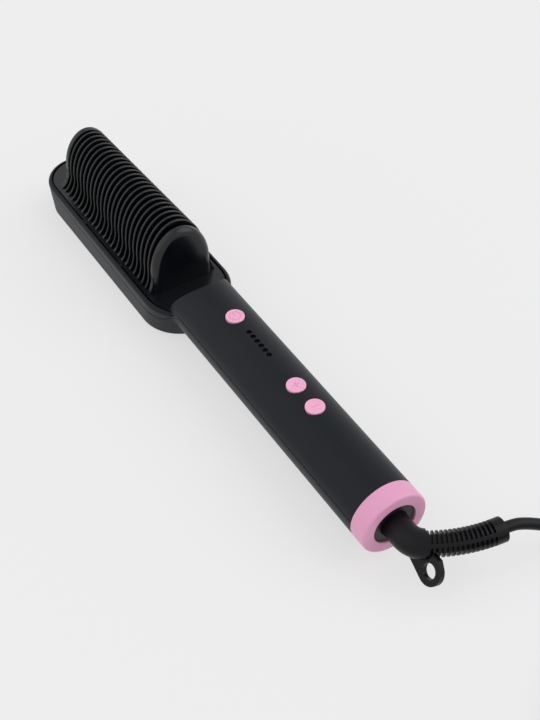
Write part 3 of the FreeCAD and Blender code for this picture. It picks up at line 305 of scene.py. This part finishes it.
FINISHES: dict[str, Moulded | Metal] = {
    # ABS under a soft-touch lacquer: blue-black, broad dull highlight, very fine grain, with painted shade
    # darkening its parting line.
    "soft_touch_black": Moulded("abs_soft_touch_charcoal", "#10141A", "#141920", 0.43, 0.05, 0.5, 0.010,
                                20.0, specular=0.18, parting=PartingLine()),
    # Glass-filled nylon: blacker than the shells, satin, slightly mottled by its filler.
    "comb_black": Moulded("nylon_comb_black", "#090B0F", "#0D0F14", 0.24, 0.05, 0.4, 0.006, 8.0,
                          specular=0.4),
    # Cast aluminium with a baked ceramic coat: near black, gritty, barely glossy.
    "heater_coat": Moulded("aluminium_ceramic_coat", "#0E0E10", "#151517", 0.55, 0.08, 0.35, 0.02, 6.0),
    # Fired alumina: chalky off-white with a fine sandy surface.
    "ceramic_white": Moulded("alumina_fired", "#E4E0D6", "#D8D3C6", 0.6, 0.08, 0.3, 0.02, 5.0),
    # Pressed mica: flaky amber sheet with a pearly gloss.
    "mica_sheet": Moulded("mica_pressed", "#B9A778", "#D6C79C", 0.35, 0.12, 1.5, 0.03, 4.0, coat=0.3),
    # Rolled spring steel strip: bluish grey with fine lines along its length.
    "spring_steel": Metal("spring_steel_rolled", "#BFC1C4", "#A9ABAF", 0.3),
    # Zinc-plated screws: pale grey, softly brushed.
    "screw_steel": Metal("steel_zinc_plated", "#AEB0B3", "#8E9094", 0.35),
    # Drawn aluminium cans of the fuse and the probe: bright, with soft lines along them.
    "probe_metal": Metal("aluminium_drawn", "#D2D3D5", "#BCBDC0", 0.3),
    # Glass laminate under green solder mask: glossy, with a woven mottle.
    "board_green": Moulded("laminate_solder_mask", "#11502B", "#1A6135", 0.3, 0.06, 1.2, 0.01, 2.0,
                           coat=0.4),
    # Filled epoxy of switch cases and chips: dull near black.
    "switch_black": Moulded("epoxy_moulding", "#1A1A1B", "#202022", 0.55),
    # Acetal plungers: waxy mid grey.
    "plunger_grey": Moulded("acetal_grey", "#8D8E90", "#97989A", 0.4),
    # Moulded ABS buttons: rose pink, satin, a little light passes into them.
    "button_pink": Moulded("abs_rose_satin", "#F1A9CE", "#F4B0D3", 0.38, 0.05, 0.4, 0.006, 6.0,
                           coat=0.15, subsurface=0.08),
    # Cast resin domes of the indicator lights: milky white and glossy.
    "led_white": Moulded("resin_clear_dome", "#E9E7DC", "#F4F2EA", 0.15, 0.03),
    # Smoked acrylic light guide: almost black, with a weak highlight.
    "guide_clear": Moulded("acrylic_smoked", "#030304", "#060607", 0.35, 0.04, 0.6, 0.003,
                           specular=0.08),
    # Boxed film capacitor: yellow moulded case.
    "capacitor_yellow": Moulded("polyester_box_yellow", "#D9A21B", "#E1AE30", 0.35),
    # Moulded nylon terminal block: leaf green, satin.
    "terminal_green": Moulded("nylon_terminal_green", "#1F7A43", "#27854D", 0.45),
    # Silicone wire sleeve: dull red.
    "wire_red": Moulded("silicone_red", "#A3231F", "#B02E29", 0.5),
    # Moulded ring: same rose family as the buttons, a shade duller and more matt.
    "ring_pink": Moulded("abs_rose_matt", "#E39EC3", "#E7A5C9", 0.45, 0.05, 0.5, 0.010, 12.0,
                         subsurface=0.05),
    # Swivel insert in moulded acetal: smooth soft black.
    "insert_black": Moulded("acetal_black", "#101114", "#15161A", 0.42, specular=0.3),
    # Turned and stamped brass contacts: warm yellow, with fine tool lines.
    "contact_brass": Metal("brass_turned", "#D7AE62", "#C2964A", 0.28),
    # Soft PVC of cord, sleeve and plug: black, satin, faintly waxy.
    "cord_black": Moulded("pvc_soft_black", "#07080B", "#0C0D11", 0.34, 0.06, 0.6, 0.012, 10.0,
                          specular=0.2),
    # Nickel-plated brass pins: warm silver, the brightest metal here.
    "pin_nickel": Metal("brass_nickel_plated", "#D9D7D0", "#C9C6BE", 0.18),
}


class Wardrobe:
    """Keeps one material per finish and puts them on pieces."""

    def __init__(self) -> None:
        """Start with no material made."""
        self._made: dict[str, bpy.types.Material] = {}

    def material(self, slot: str) -> bpy.types.Material:
        """Give the material of a slot, made on its first use.

        Args:
            slot: Name of the record's material slot.

        Returns:
            The material.
        """
        if slot not in self._made:
            self._made[slot] = FINISHES[slot].material()
        return self._made[slot]

    def dress_nodes(self, nodes: Iterable[str]) -> None:
        """Put each CAD node's own finish on it.

        Args:
            nodes: Names of CAD nodes.
        """
        slots = {row["node"]: row["material_slot"] for row in frame["record"]["subparts"]}
        for name in nodes:
            piece = frame["nodes"][name]
            for holder in piece.material_slots:
                holder.material = self.material(slots[name])
            LOG.info("dressed %s as %s", name, slots[name])

    def dress_piece(self, piece: bpy.types.Object, slot: str, rider: Rider) -> None:
        """Give a new piece its finish and the body that it moves with.

        Args:
            piece: The new object.
            slot: Name of the record's material slot.
            rider: Body that carries the piece.
        """
        piece.data.materials.clear()
        piece.data.materials.append(self.material(slot))
        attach(piece, rider.value)
        LOG.info("made %s, riding on %s", piece.name, rider.value)


# Modelling helpers

def clear_selection() -> None:
    """Leave edit mode and deselect everything."""
    if bpy.context.object and bpy.context.object.mode != "OBJECT":
        bpy.ops.object.mode_set(mode="OBJECT")
    bpy.ops.object.select_all(action="DESELECT")


def take(piece: bpy.types.Object) -> bpy.types.Object:
    """Make one object the only selected and the active one.

    Args:
        piece: The object.

    Returns:
        The same object.
    """
    clear_selection()
    piece.select_set(True)
    bpy.context.view_layer.objects.active = piece
    return piece


def settle(piece: bpy.types.Object, name: str) -> bpy.types.Object:
    """Name a piece and put its place, turn and scale into its mesh.

    Args:
        piece: The object.
        name: Its name.

    Returns:
        The same object.
    """
    take(piece)
    piece.name = name
    piece.data.name = name
    bpy.ops.object.transform_apply(location=True, rotation=True, scale=True)
    return piece


def pick_faces(piece: bpy.types.Object, test: Callable[[bpy.types.MeshPolygon], bool]) -> None:
    """Enter edit mode with just the faces selected that pass a test.

    Args:
        piece: Mesh object.
        test: Function of a polygon.
    """
    take(piece)
    bpy.ops.object.mode_set(mode="EDIT")
    bpy.ops.mesh.select_mode(type="FACE")
    bpy.ops.mesh.select_all(action="DESELECT")
    bpy.ops.object.mode_set(mode="OBJECT")
    for polygon in piece.data.polygons:
        polygon.select = test(polygon)
    bpy.ops.object.mode_set(mode="EDIT")


def pick_edges(piece: bpy.types.Object, test: Callable[[Vector, Vector], bool]) -> None:
    """Enter edit mode with just the edges selected whose two ends pass a test.

    Args:
        piece: Mesh object.
        test: Function of the edge's two end points.
    """
    take(piece)
    bpy.ops.object.mode_set(mode="EDIT")
    bpy.ops.mesh.select_mode(type="EDGE")
    bpy.ops.mesh.select_all(action="DESELECT")
    bpy.ops.object.mode_set(mode="OBJECT")
    points = piece.data.vertices
    for edge in piece.data.edges:
        first, second = (points[i].co for i in edge.vertices)
        edge.select = test(first, second)
    bpy.ops.object.mode_set(mode="EDIT")


def smooth(piece: bpy.types.Object, angle: float) -> bpy.types.Object:
    """Shade a piece smooth up to an angle.

    Args:
        piece: Mesh object.
        angle: Widest angle between faces that is shaded smooth, in degrees.

    Returns:
        The same object.
    """
    take(piece)
    bpy.ops.object.shade_smooth_by_angle(angle=math.radians(angle))
    return piece


def cut_away(piece: bpy.types.Object, cutter: bpy.types.Object) -> None:
    """Cut one mesh from another and delete the cutter.

    Args:
        piece: Mesh that is cut.
        cutter: Closed mesh that is taken away from it.
    """
    take(piece)
    cut = piece.modifiers.new("cut", "BOOLEAN")
    cut.object = cutter
    cut.operation = "DIFFERENCE"
    cut.solver = "EXACT"
    bpy.ops.object.modifier_apply(modifier=cut.name)
    bpy.data.objects.remove(cutter, do_unlink=True)


# Sub-assemblies

@dataclass
class Casing:
    """Upper and lower shell of head and handle, with what is screwed inside them."""

    nodes: tuple[str, ...] = ("upper_shell", "lower_shell", "case_screws")

    def dress(self, wardrobe: Wardrobe) -> None:
        """Put the soft-touch finish on the shells and plating on their screws.

        Args:
            wardrobe: Holder of the materials.
        """
        wardrobe.dress_nodes(self.nodes)


@dataclass
class CombHead:
    """Comb guard and the heater under it."""

    nodes: tuple[str, ...] = (
        "heater_plate", "heater_element", "insulation_sheet", "heater_clamp", "heater_screws",
        "thermal_fuse", "temperature_sensor", "heater_wires")
    weld_mm: float = 0.001
    flat_deg: float = 0.5
    sharp_deg: float = 40.0
    smooth_deg: float = 30.0
    edge_mm: float = 0.54
    edge_steps: int = 4
    base_mm: float = 19.5
    last_tooth_mm: float = -29.7

    def build(self, wardrobe: Wardrobe) -> bpy.types.Object:
        """Dress the heater and soften the guard's teeth.

        Args:
            wardrobe: Holder of the materials.

        Returns:
            The guard with rounded tooth edges.
        """
        wardrobe.dress_nodes(self.nodes)
        mesh = frame["nodes"]["comb_guard"].data.copy()
        guard = bpy.data.objects.new("tooth_guard", mesh)
        bpy.context.scene.collection.objects.link(guard)
        settle(guard, "tooth_guard")
        bpy.ops.object.mode_set(mode="EDIT")
        bpy.ops.mesh.select_all(action="SELECT")
        bpy.ops.mesh.remove_doubles(threshold=self.weld_mm * MM)
        bpy.ops.mesh.dissolve_limited(angle_limit=math.radians(self.flat_deg))
        bpy.ops.mesh.select_mode(type="EDGE")
        bpy.ops.mesh.select_all(action="DESELECT")
        bpy.ops.mesh.edges_select_sharp(sharpness=math.radians(self.sharp_deg))
        bpy.ops.object.mode_set(mode="OBJECT")
        points = guard.data.vertices
        # A face or point that stays selected would bring back edges outside the teeth.
        for element in (*guard.data.polygons, *points):
            element.select = False
        for edge in guard.data.edges:
            edge.select = edge.select and all(
                points[i].co.z > self.base_mm * MM and points[i].co.x < self.last_tooth_mm * MM
                for i in edge.vertices)
        bpy.ops.object.mode_set(mode="EDIT")
        bpy.ops.mesh.bevel(offset=self.edge_mm * MM, segments=self.edge_steps, profile=0.5, affect="EDGES")
        bpy.ops.object.mode_set(mode="OBJECT")
        smooth(guard, self.smooth_deg)
        level = guard.modifiers.new("flat_faces", "WEIGHTED_NORMAL")
        level.keep_sharp = True
        bpy.ops.object.modifier_apply(modifier=level.name)
        wardrobe.dress_piece(guard, "comb_black", Rider.BODY)
        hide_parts("comb_guard")
        return guard


@dataclass
class ControlDeck:
    """Control board and everything that stands on it."""

    nodes: tuple[str, ...] = (
        "control_board", "board_screws", "power_switch", "plus_switch", "minus_switch", "power_plunger",
        "plus_plunger", "minus_plunger", "indicator_leds", "light_guide", "control_chip", "power_triac",
        "supply_capacitor", "terminal_block", "supply_wires")

    def dress(self, wardrobe: Wardrobe) -> None:
        """Put the board's finishes on its pieces.

        Args:
            wardrobe: Holder of the materials.
        """
        wardrobe.dress_nodes(self.nodes)


@dataclass
class PushButton:
    """One push button: a cap with a rounded rim, a shallow dish and a sunk sign."""

    sign: Sign
    rider: Rider
    place_mm: float
    radius_mm: float = 4.35
    crown_mm: float = 35.8
    foot_mm: float = 28.6
    rim_mm: float = 0.35
    dish_mm: float = 0.12
    flange_radius_mm: float = 5.5
    flange_top_mm: float = 31.8
    flange_thick_mm: float = 1.0
    stem_radius_mm: float = 2.0
    groove_mm: float = 0.36
    groove_depth_mm: float = 0.22
    sign_radius_mm: float = 1.7
    circle_radius_mm: float = 2.6
    cutter_tall_mm: float = 1.0
    core_tall_mm: float = 3.0
    mouth_share: float = 0.75
    stroke_end_share: float = 0.49
    land_share: float = 1.6
    sides: int = 72
    circle_sides: int = 48
    rim_steps: int = 6
    stroke_steps: int = 4
    smooth_deg: float = 32.0

    def build(self, wardrobe: Wardrobe) -> bpy.types.Object:
        """Model the cap and cut its sign.

        Args:
            wardrobe: Holder of the materials.

        Returns:
            The finished cap.
        """
        cap = self._cap()
        for cutter in self._cutters():
            cut_away(cap, cutter)
        settle(cap, f"{self.sign.value}_cap")
        smooth(cap, self.smooth_deg)
        wardrobe.dress_piece(cap, "button_pink", self.rider)
        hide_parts(f"{self.sign.value}_button")
        return cap

    def _cap(self) -> bpy.types.Object:
        """Model the stem, flange and crown of the cap as one turned form.

        Returns:
            The cap without its sign.
        """
        clear_selection()
        bpy.ops.mesh.primitive_cylinder_add(
            vertices=self.sides, radius=self.stem_radius_mm * MM,
            depth=(self.flange_top_mm - self.flange_thick_mm - self.foot_mm) * MM,
            location=(self.place_mm * MM, 0.0,
                      (self.foot_mm + self.flange_top_mm - self.flange_thick_mm) / 2 * MM))
        cap = settle(bpy.context.object, f"{self.sign.value}_cap")
        steps = ((self.flange_radius_mm, 0.0), (None, self.flange_thick_mm), (self.radius_mm, 0.0),
                 (None, self.crown_mm - self.flange_top_mm),
                 (self.radius_mm - self.rim_mm * self.land_share, 0.0))
        width = self.stem_radius_mm
        top = self.flange_top_mm - self.flange_thick_mm
        pick_faces(cap, lambda face: face.normal.z > FACING)
        for radius, rise in steps:
            bpy.ops.mesh.extrude_region_move(TRANSFORM_OT_translate={"value": (0.0, 0.0, rise * MM)})
            top += rise
            if radius is not None:
                share = radius / width
                width = radius
                bpy.ops.transform.resize(value=(share, share, 1.0),
                                         center_override=(self.place_mm * MM, 0.0, top * MM))
        bpy.ops.mesh.inset(thickness=self.rim_mm * MM)
        bpy.ops.transform.translate(value=(0.0, 0.0, -self.dish_mm * MM))
        level = self.crown_mm * MM
        outer = self.radius_mm * MM
        middle = Vector((self.place_mm * MM, 0.0, level))
        pick_edges(cap, lambda a, b: all(
            abs(p.z - level) < LEVEL_TOLERANCE and abs((p - middle).length - outer) < CIRCLE_TOLERANCE
            for p in (a, b)))
        bpy.ops.mesh.bevel(offset=self.rim_mm * MM, segments=self.rim_steps, profile=0.5, affect="EDGES")
        bpy.ops.object.mode_set(mode="OBJECT")
        return cap

    def _cutter_middle(self) -> float:
        """Give the height of the middle of a cutter that stands on the floor of the grooves.

        Returns:
            The height in millimetres.
        """
        floor = self.crown_mm - self.dish_mm - self.groove_depth_mm
        return floor + self.cutter_tall_mm / 2

    def _bar(self, length_mm: float, turn: float, shift_mm: float = 0.0) -> bpy.types.Object:
        """Model a cutter for a straight stroke of a sign.

        Args:
            length_mm: Length of the stroke.
            turn: Its angle from the comb's length, in radians.
            shift_mm: Shift along the comb's length.

        Returns:
            A closed bar with rounded ends.
        """
        clear_selection()
        bpy.ops.mesh.primitive_cube_add(size=1.0, location=(
            (self.place_mm + shift_mm) * MM, 0.0, self._cutter_middle() * MM), rotation=(0.0, 0.0, turn))
        bar = bpy.context.object
        bar.scale = (length_mm * MM, self.groove_mm * MM, self.cutter_tall_mm * MM)
        settle(bar, "stroke")
        pick_edges(bar, lambda a, b: abs((a - b).z) > self.cutter_tall_mm / 2 * MM)
        bpy.ops.mesh.bevel(offset=self.groove_mm * self.stroke_end_share * MM, segments=self.stroke_steps,
                           affect="EDGES")
        bpy.ops.object.mode_set(mode="OBJECT")
        return bar

    def _arc(self) -> bpy.types.Object:
        """Model a cutter for the open circle of the power sign.

        Returns:
            A closed ring with a gap in it.
        """
        clear_selection()
        middle = (self.place_mm * MM, 0.0, self._cutter_middle() * MM)
        bpy.ops.mesh.primitive_cylinder_add(
            vertices=self.circle_sides, radius=(self.circle_radius_mm + self.groove_mm / 2) * MM,
            depth=self.cutter_tall_mm * MM, location=middle)
        ring = settle(bpy.context.object, "open_circle")
        clear_selection()
        bpy.ops.mesh.primitive_cylinder_add(
            vertices=self.circle_sides, radius=(self.circle_radius_mm - self.groove_mm / 2) * MM,
            depth=self.core_tall_mm * MM, location=middle)
        cut_away(ring, settle(bpy.context.object, "core"))
        clear_selection()
        gap = self.circle_radius_mm
        bpy.ops.mesh.primitive_cube_add(size=1.0, location=(
            (self.place_mm - gap) * MM, 0.0, self._cutter_middle() * MM))
        block = bpy.context.object
        block.scale = (gap * MM, gap * self.mouth_share * MM, self.core_tall_mm * MM)
        cut_away(ring, settle(block, "mouth"))
        return ring

    def _cutters(self) -> list[bpy.types.Object]:
        """Make the cutters of this button's sign.

        Returns:
            Closed meshes, to be cut from the cap.
        """
        stroke = self.sign_radius_mm * 2
        if self.sign is Sign.PLUS:
            return [self._bar(stroke, 0.0), self._bar(stroke, math.pi / 2)]
        if self.sign is Sign.MINUS:
            return [self._bar(stroke, math.pi / 2)]
        return [self._arc(), self._bar(self.circle_radius_mm, 0.0, -self.circle_radius_mm / 2)]


BUTTON_ROW: tuple[tuple[Sign, Rider, float], ...] = (
    (Sign.POWER, Rider.POWER, 22.05), (Sign.PLUS, Rider.PLUS, 72.15), (Sign.MINUS, Rider.MINUS, 86.75))


@dataclass
class TailOutlet:
    """Pink tail ring and the swivel insert that the cord turns in."""

    nodes: tuple[str, ...] = (
        "swivel_housing_upper", "swivel_housing_lower", "contact_springs", "slip_rings")
    tail_mm: float = 145.25
    axis_mm: float = 19.9
    length_mm: float = 8.95
    radius_mm: float = 15.6
    bore_mm: float = 10.1
    edge_mm: float = 1.1
    bore_edge_mm: float = 0.35
    joint_edge_mm: float = 0.25
    edge_steps: int = 10
    bore_edge_steps: int = 5
    joint_edge_steps: int = 3
    sides: int = 128
    smooth_deg: float = 40.0

    def build(self, wardrobe: Wardrobe) -> bpy.types.Object:
        """Model the ring and dress the insert.

        Args:
            wardrobe: Holder of the materials.

        Returns:
            The ring.
        """
        wardrobe.dress_nodes(self.nodes)
        clear_selection()
        middle = (self.tail_mm - self.length_mm / 2) * MM
        bpy.ops.mesh.primitive_cylinder_add(
            vertices=self.sides, radius=self.radius_mm * MM, depth=self.length_mm * MM,
            location=(middle, 0.0, self.axis_mm * MM), rotation=(0.0, math.pi / 2, 0.0))
        ring = settle(bpy.context.object, "rose_ring")
        pick_faces(ring, lambda face: abs(face.normal.x) > FACING)
        bpy.ops.mesh.inset(thickness=(self.radius_mm - self.bore_mm) * MM)
        bpy.ops.mesh.bridge_edge_loops()
        joint_mm = self.tail_mm - self.length_mm
        self._round_edge(ring, self.tail_mm, self.radius_mm, self.edge_mm, self.edge_steps)
        self._round_edge(ring, self.tail_mm, self.bore_mm, self.bore_edge_mm, self.bore_edge_steps)
        self._round_edge(ring, joint_mm, self.radius_mm, self.joint_edge_mm, self.joint_edge_steps)
        smooth(ring, self.smooth_deg)
        wardrobe.dress_piece(ring, "ring_pink", Rider.BODY)
        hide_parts("tail_ring")
        return ring

    def _round_edge(self, ring: bpy.types.Object, place_mm: float, radius_mm: float, edge_mm: float,
                    steps: int) -> None:
        """Round one circular edge of the ring.

        Args:
            ring: The ring.
            place_mm: Place of the edge along the comb.
            radius_mm: Radius of the edge.
            edge_mm: Size of the rounding.
            steps: Number of its steps.
        """
        middle = Vector((place_mm * MM, 0.0, self.axis_mm * MM))
        pick_edges(ring, lambda a, b: all(
            abs(p.x - middle.x) < LEVEL_TOLERANCE
            and abs((p - middle).length - radius_mm * MM) < CIRCLE_TOLERANCE
            for p in (a, b)))
        bpy.ops.mesh.bevel(offset=edge_mm * MM, segments=steps, profile=0.5, affect="EDGES")
        bpy.ops.object.mode_set(mode="OBJECT")


@dataclass
class CordSet:
    """Strain relief, mains cord with its put-away coil and tie, and the plug."""

    nodes: tuple[str, ...] = ("strain_relief", "plug_body", "plug_pins")
    diameter_mm: float = 5.0
    length_mm: float = 1627.0
    route_mm: tuple[tuple[float, float, float], ...] = (
        (169.70, 34.62, 19.9), (170.20, 39.79, 19.9), (171.56, 44.84, 18.6), (173.76, 50.6, 16.5),
        (177.3, 58.6, 13.0), (183.6, 67.0, 9.2), (193.2, 74.0, 5.9), (206.0, 77.6, 3.6),
        (220.0, 78.0, 2.5))
    coil_start_mm: tuple[float, float, float] = (265.0, 78.0, 2.5)
    coil_outer_mm: float = 40.0
    coil_pitch_mm: float = 5.5
    coil_turns: int = 4
    points_per_half: int = 12
    section_steps: int = 6
    length_steps: int = 6
    spline_order: int = 3
    tail_mm: tuple[tuple[float, float, float], ...] = (
        (273.0, 78.0, 8.0), (282.5, 75.0, 11.0), (288.5, 67.5, 15.0), (290.5, 58.5, 17.8),
        (290.5, 50.0, 17.8))
    tie_width_mm: float = 4.0
    tie_thick_mm: float = 0.5
    tie_corner_mm: float = 3.0
    tie_corner_steps: int = 6
    tie_outside_mm: float = 0.2
    tie_inside_mm: float = 1.0
    tie_over_mm: float = 0.5
    tie_foot_mm: float = 0.05
    smooth_deg: float = 40.0

    def build(self, wardrobe: Wardrobe) -> bpy.types.Object:
        """Lay the cord, tie its coil and dress what is on it.

        Args:
            wardrobe: Holder of the materials.

        Returns:
            The cord's curve.
        """
        wardrobe.dress_nodes(self.nodes)
        points = list(self.route_mm) + self._coil() + list(self.tail_mm)
        curve = bpy.data.curves.new("mains_cord", "CURVE")
        curve.dimensions = "3D"
        curve.bevel_depth = self.diameter_mm / 2 * MM
        curve.bevel_resolution = self.section_steps
        curve.resolution_u = self.length_steps
        curve.use_fill_caps = True
        spline = curve.splines.new("NURBS")
        spline.points.add(len(points) - 1)
        for knot, place in zip(spline.points, points):
            knot.co = (*(c * MM for c in place), 1.0)
        spline.order_u = self.spline_order
        spline.use_endpoint_u = True
        cord = bpy.data.objects.new("mains_cord", curve)
        bpy.context.scene.collection.objects.link(cord)
        wardrobe.dress_piece(cord, "cord_black", Rider.SWIVEL)
        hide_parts("cord_lead", "cord_coil", "cord_tail")
        tie = self._tie(wardrobe)
        return cord

    def _coil(self) -> list[tuple[float, float, float]]:
        """Give the points of the coil, in half loops that spiral in, climb a layer and spiral out.

        Returns:
            Places in millimetres, in the cord's order.
        """
        half_turns = 2 * self.coil_turns
        step = self.coil_pitch_mm / 2
        radii = [self.coil_outer_mm - step * k for k in range(half_turns)]
        loops = [(radius, 0.0) for radius in radii]
        loops.append((self.coil_outer_mm - step * half_turns, self.coil_pitch_mm))
        loops += [(radius, 0.0) for radius in reversed(radii[1:])]
        x, y, z = self.coil_start_mm
        points = [(x, y, z)]
        way = 1
        for radius, climb in loops:
            reach = math.hypot(2 * radius, climb) / 2
            for k in range(1, self.points_per_half + 1):
                turn = math.pi * k / self.points_per_half
                along = (1 - math.cos(turn)) / 2
                points.append((x + way * reach * math.sin(turn), y - way * 2 * radius * along,
                               z + climb * along))
            x, y, z = points[-1]
            way = -way
        return points

    def _tie(self, wardrobe: Wardrobe) -> bpy.types.Object:
        """Model the flat band that holds the coil's turns together at its far side.

        Args:
            wardrobe: Holder of the materials.

        Returns:
            The band.
        """
        centre_y = self.coil_start_mm[1] - self.coil_outer_mm
        inner = self.coil_outer_mm - self.coil_pitch_mm * self.coil_turns
        half = self.diameter_mm / 2
        low_x = self.coil_start_mm[0] - self.coil_outer_mm - self.tie_outside_mm
        high_x = self.coil_start_mm[0] - inner + half + self.tie_inside_mm
        top = self.coil_pitch_mm + self.diameter_mm + self.tie_over_mm
        clear_selection()
        bpy.ops.mesh.primitive_cube_add(size=1.0, location=(
            (low_x + high_x) / 2 * MM, centre_y * MM, (top + self.tie_foot_mm) / 2 * MM))
        tie = bpy.context.object
        tie.scale = ((high_x - low_x) * MM, self.tie_width_mm * MM, (top - self.tie_foot_mm) * MM)
        settle(tie, "coil_tie")
        pick_faces(tie, lambda face: abs(face.normal.y) > FACING)
        bpy.ops.mesh.delete(type="FACE")
        pick_edges(tie, lambda a, b: abs((a - b).y) > self.tie_width_mm / 2 * MM)
        bpy.ops.mesh.bevel(offset=self.tie_corner_mm * MM, segments=self.tie_corner_steps, affect="EDGES")
        bpy.ops.object.mode_set(mode="OBJECT")
        wall = tie.modifiers.new("wall", "SOLIDIFY")
        wall.thickness = self.tie_thick_mm * MM
        wall.offset = -1.0
        bpy.ops.object.modifier_apply(modifier=wall.name)
        smooth(tie, self.smooth_deg)
        wardrobe.dress_piece(tie, "cord_black", Rider.SWIVEL)
        return tie


@dataclass(frozen=True)
class Window:
    """Wide soft lamp: the direction its light comes from, its angle in degrees and its strength."""

    name: str
    source: tuple[float, float, float]
    spread: float
    power: float


@dataclass
class Studio:
    """Pale floor, soft light and the camera at the photograph's angle."""

    floor_half_m: float = 6.0
    floor_drop_m: float = 0.0002
    floor_colour: str = "#EFEFEF"
    floor_glow: float = 0.7
    world_colour: str = "#FFFFFF"
    world_strength: float = 0.7
    camera_place: tuple[float, float, float] = (0.38421, -0.20898, 0.43036)
    camera_tilt: float = 44.663
    camera_turn: float = 57.874
    lens_mm: float = 64.24
    sensor_mm: float = 36.0
    clip_start_m: float = 0.01
    windows: tuple[Window, ...] = (
        Window("key_window", (0.35, 0.75, 0.75), 60.0, 0.9),
        Window("fill_window", (-0.35, -0.8, 0.6), 80.0, 0.45))

    def build(self) -> None:
        """Make the floor, the lights and the camera."""
        self._camera()
        self._floor()
        self._world()
        for window in self.windows:
            self._lamp(window)
        bpy.context.scene.view_settings.view_transform = "Standard"

    def _camera(self) -> None:
        """Place the camera."""
        data = bpy.data.cameras.new("photo_camera")
        data.lens = self.lens_mm
        data.sensor_width = self.sensor_mm
        data.clip_start = self.clip_start_m
        camera = bpy.data.objects.new("photo_camera", data)
        camera.location = self.camera_place
        camera.rotation_euler = Euler((math.radians(self.camera_tilt), 0.0, math.radians(self.camera_turn)))
        bpy.context.scene.collection.objects.link(camera)
        bpy.context.scene.camera = camera

    def _floor(self) -> None:
        """Lay the pale floor."""
        clear_selection()
        bpy.ops.mesh.primitive_plane_add(
            size=2 * self.floor_half_m, location=(0.0, 0.0, -self.floor_drop_m))
        floor = settle(bpy.context.object, "pale_floor")
        material, tree = new_tree("paper_white")
        paper = add_node(tree, "ShaderNodeBsdfDiffuse", {"Color": srgb(self.floor_colour)})
        glow = add_node(tree, "ShaderNodeEmission", {"Color": srgb(self.floor_colour)})
        share = add_node(tree, "ShaderNodeMath", {
            0: self._seen(tree), 1: self.floor_glow}, operation="MULTIPLY")
        mixed = add_node(tree, "ShaderNodeMixShader", {
            0: share.outputs["Value"], 1: paper.outputs["BSDF"], 2: glow.outputs["Emission"]})
        add_node(tree, "ShaderNodeOutputMaterial", {"Surface": mixed.outputs["Shader"]})
        floor.data.materials.append(material)

    def _world(self) -> None:
        """Light the scene softly from all round."""
        world = bpy.data.worlds.new("soft_room")
        world.use_nodes = True
        tree = world.node_tree
        tree.nodes.clear()
        light = add_node(tree, "ShaderNodeBackground", {
            "Color": srgb(self.world_colour), "Strength": self.world_strength})
        wall = add_node(tree, "ShaderNodeBackground", {"Color": srgb(self.floor_colour), "Strength": 1.0})
        mixed = add_node(tree, "ShaderNodeMixShader", {
            0: self._seen(tree), 1: light.outputs["Background"], 2: wall.outputs["Background"]})
        add_node(tree, "ShaderNodeOutputWorld", {"Surface": mixed.outputs["Shader"]})
        bpy.context.scene.world = world

    def _seen(self, tree: bpy.types.NodeTree) -> bpy.types.NodeSocket:
        """Give a socket that is 1 for rays of the camera and for those that gloss and glass send on.

        Args:
            tree: Node tree that takes the nodes.

        Returns:
            Socket with the 0 or 1.
        """
        ray = add_node(tree, "ShaderNodeLightPath", {})
        gloss = add_node(tree, "ShaderNodeMath", {
            0: ray.outputs["Is Glossy Ray"], 1: ray.outputs["Is Transmission Ray"]}, operation="MAXIMUM")
        seen = add_node(tree, "ShaderNodeMath", {
            0: ray.outputs["Is Camera Ray"], 1: gloss.outputs["Value"]}, operation="MAXIMUM")
        return seen.outputs["Value"]

    def _lamp(self, window: Window) -> None:
        """Add a lamp that shines evenly over the whole floor.

        Args:
            window: The lamp's place and strength.
        """
        data = bpy.data.lights.new(window.name, "SUN")
        data.angle = math.radians(window.spread)
        data.energy = window.power
        lamp = bpy.data.objects.new(window.name, data)
        lamp.location = window.source
        lamp.rotation_euler = (-Vector(window.source)).to_track_quat("-Z", "Y").to_euler()
        bpy.context.scene.collection.objects.link(lamp)


def main() -> None:
    """Build the comb's classes in order."""
    logging.basicConfig(level=logging.INFO, format="%(message)s")
    wardrobe = Wardrobe()
    Studio().build()
    CordSet().build(wardrobe)
    Casing().dress(wardrobe)
    CombHead().build(wardrobe)
    ControlDeck().dress(wardrobe)
    for sign, rider, place_mm in BUTTON_ROW:
        PushButton(sign, rider, place_mm).build(wardrobe)
    TailOutlet().build(wardrobe)


if __name__ == "__main__":
    main()
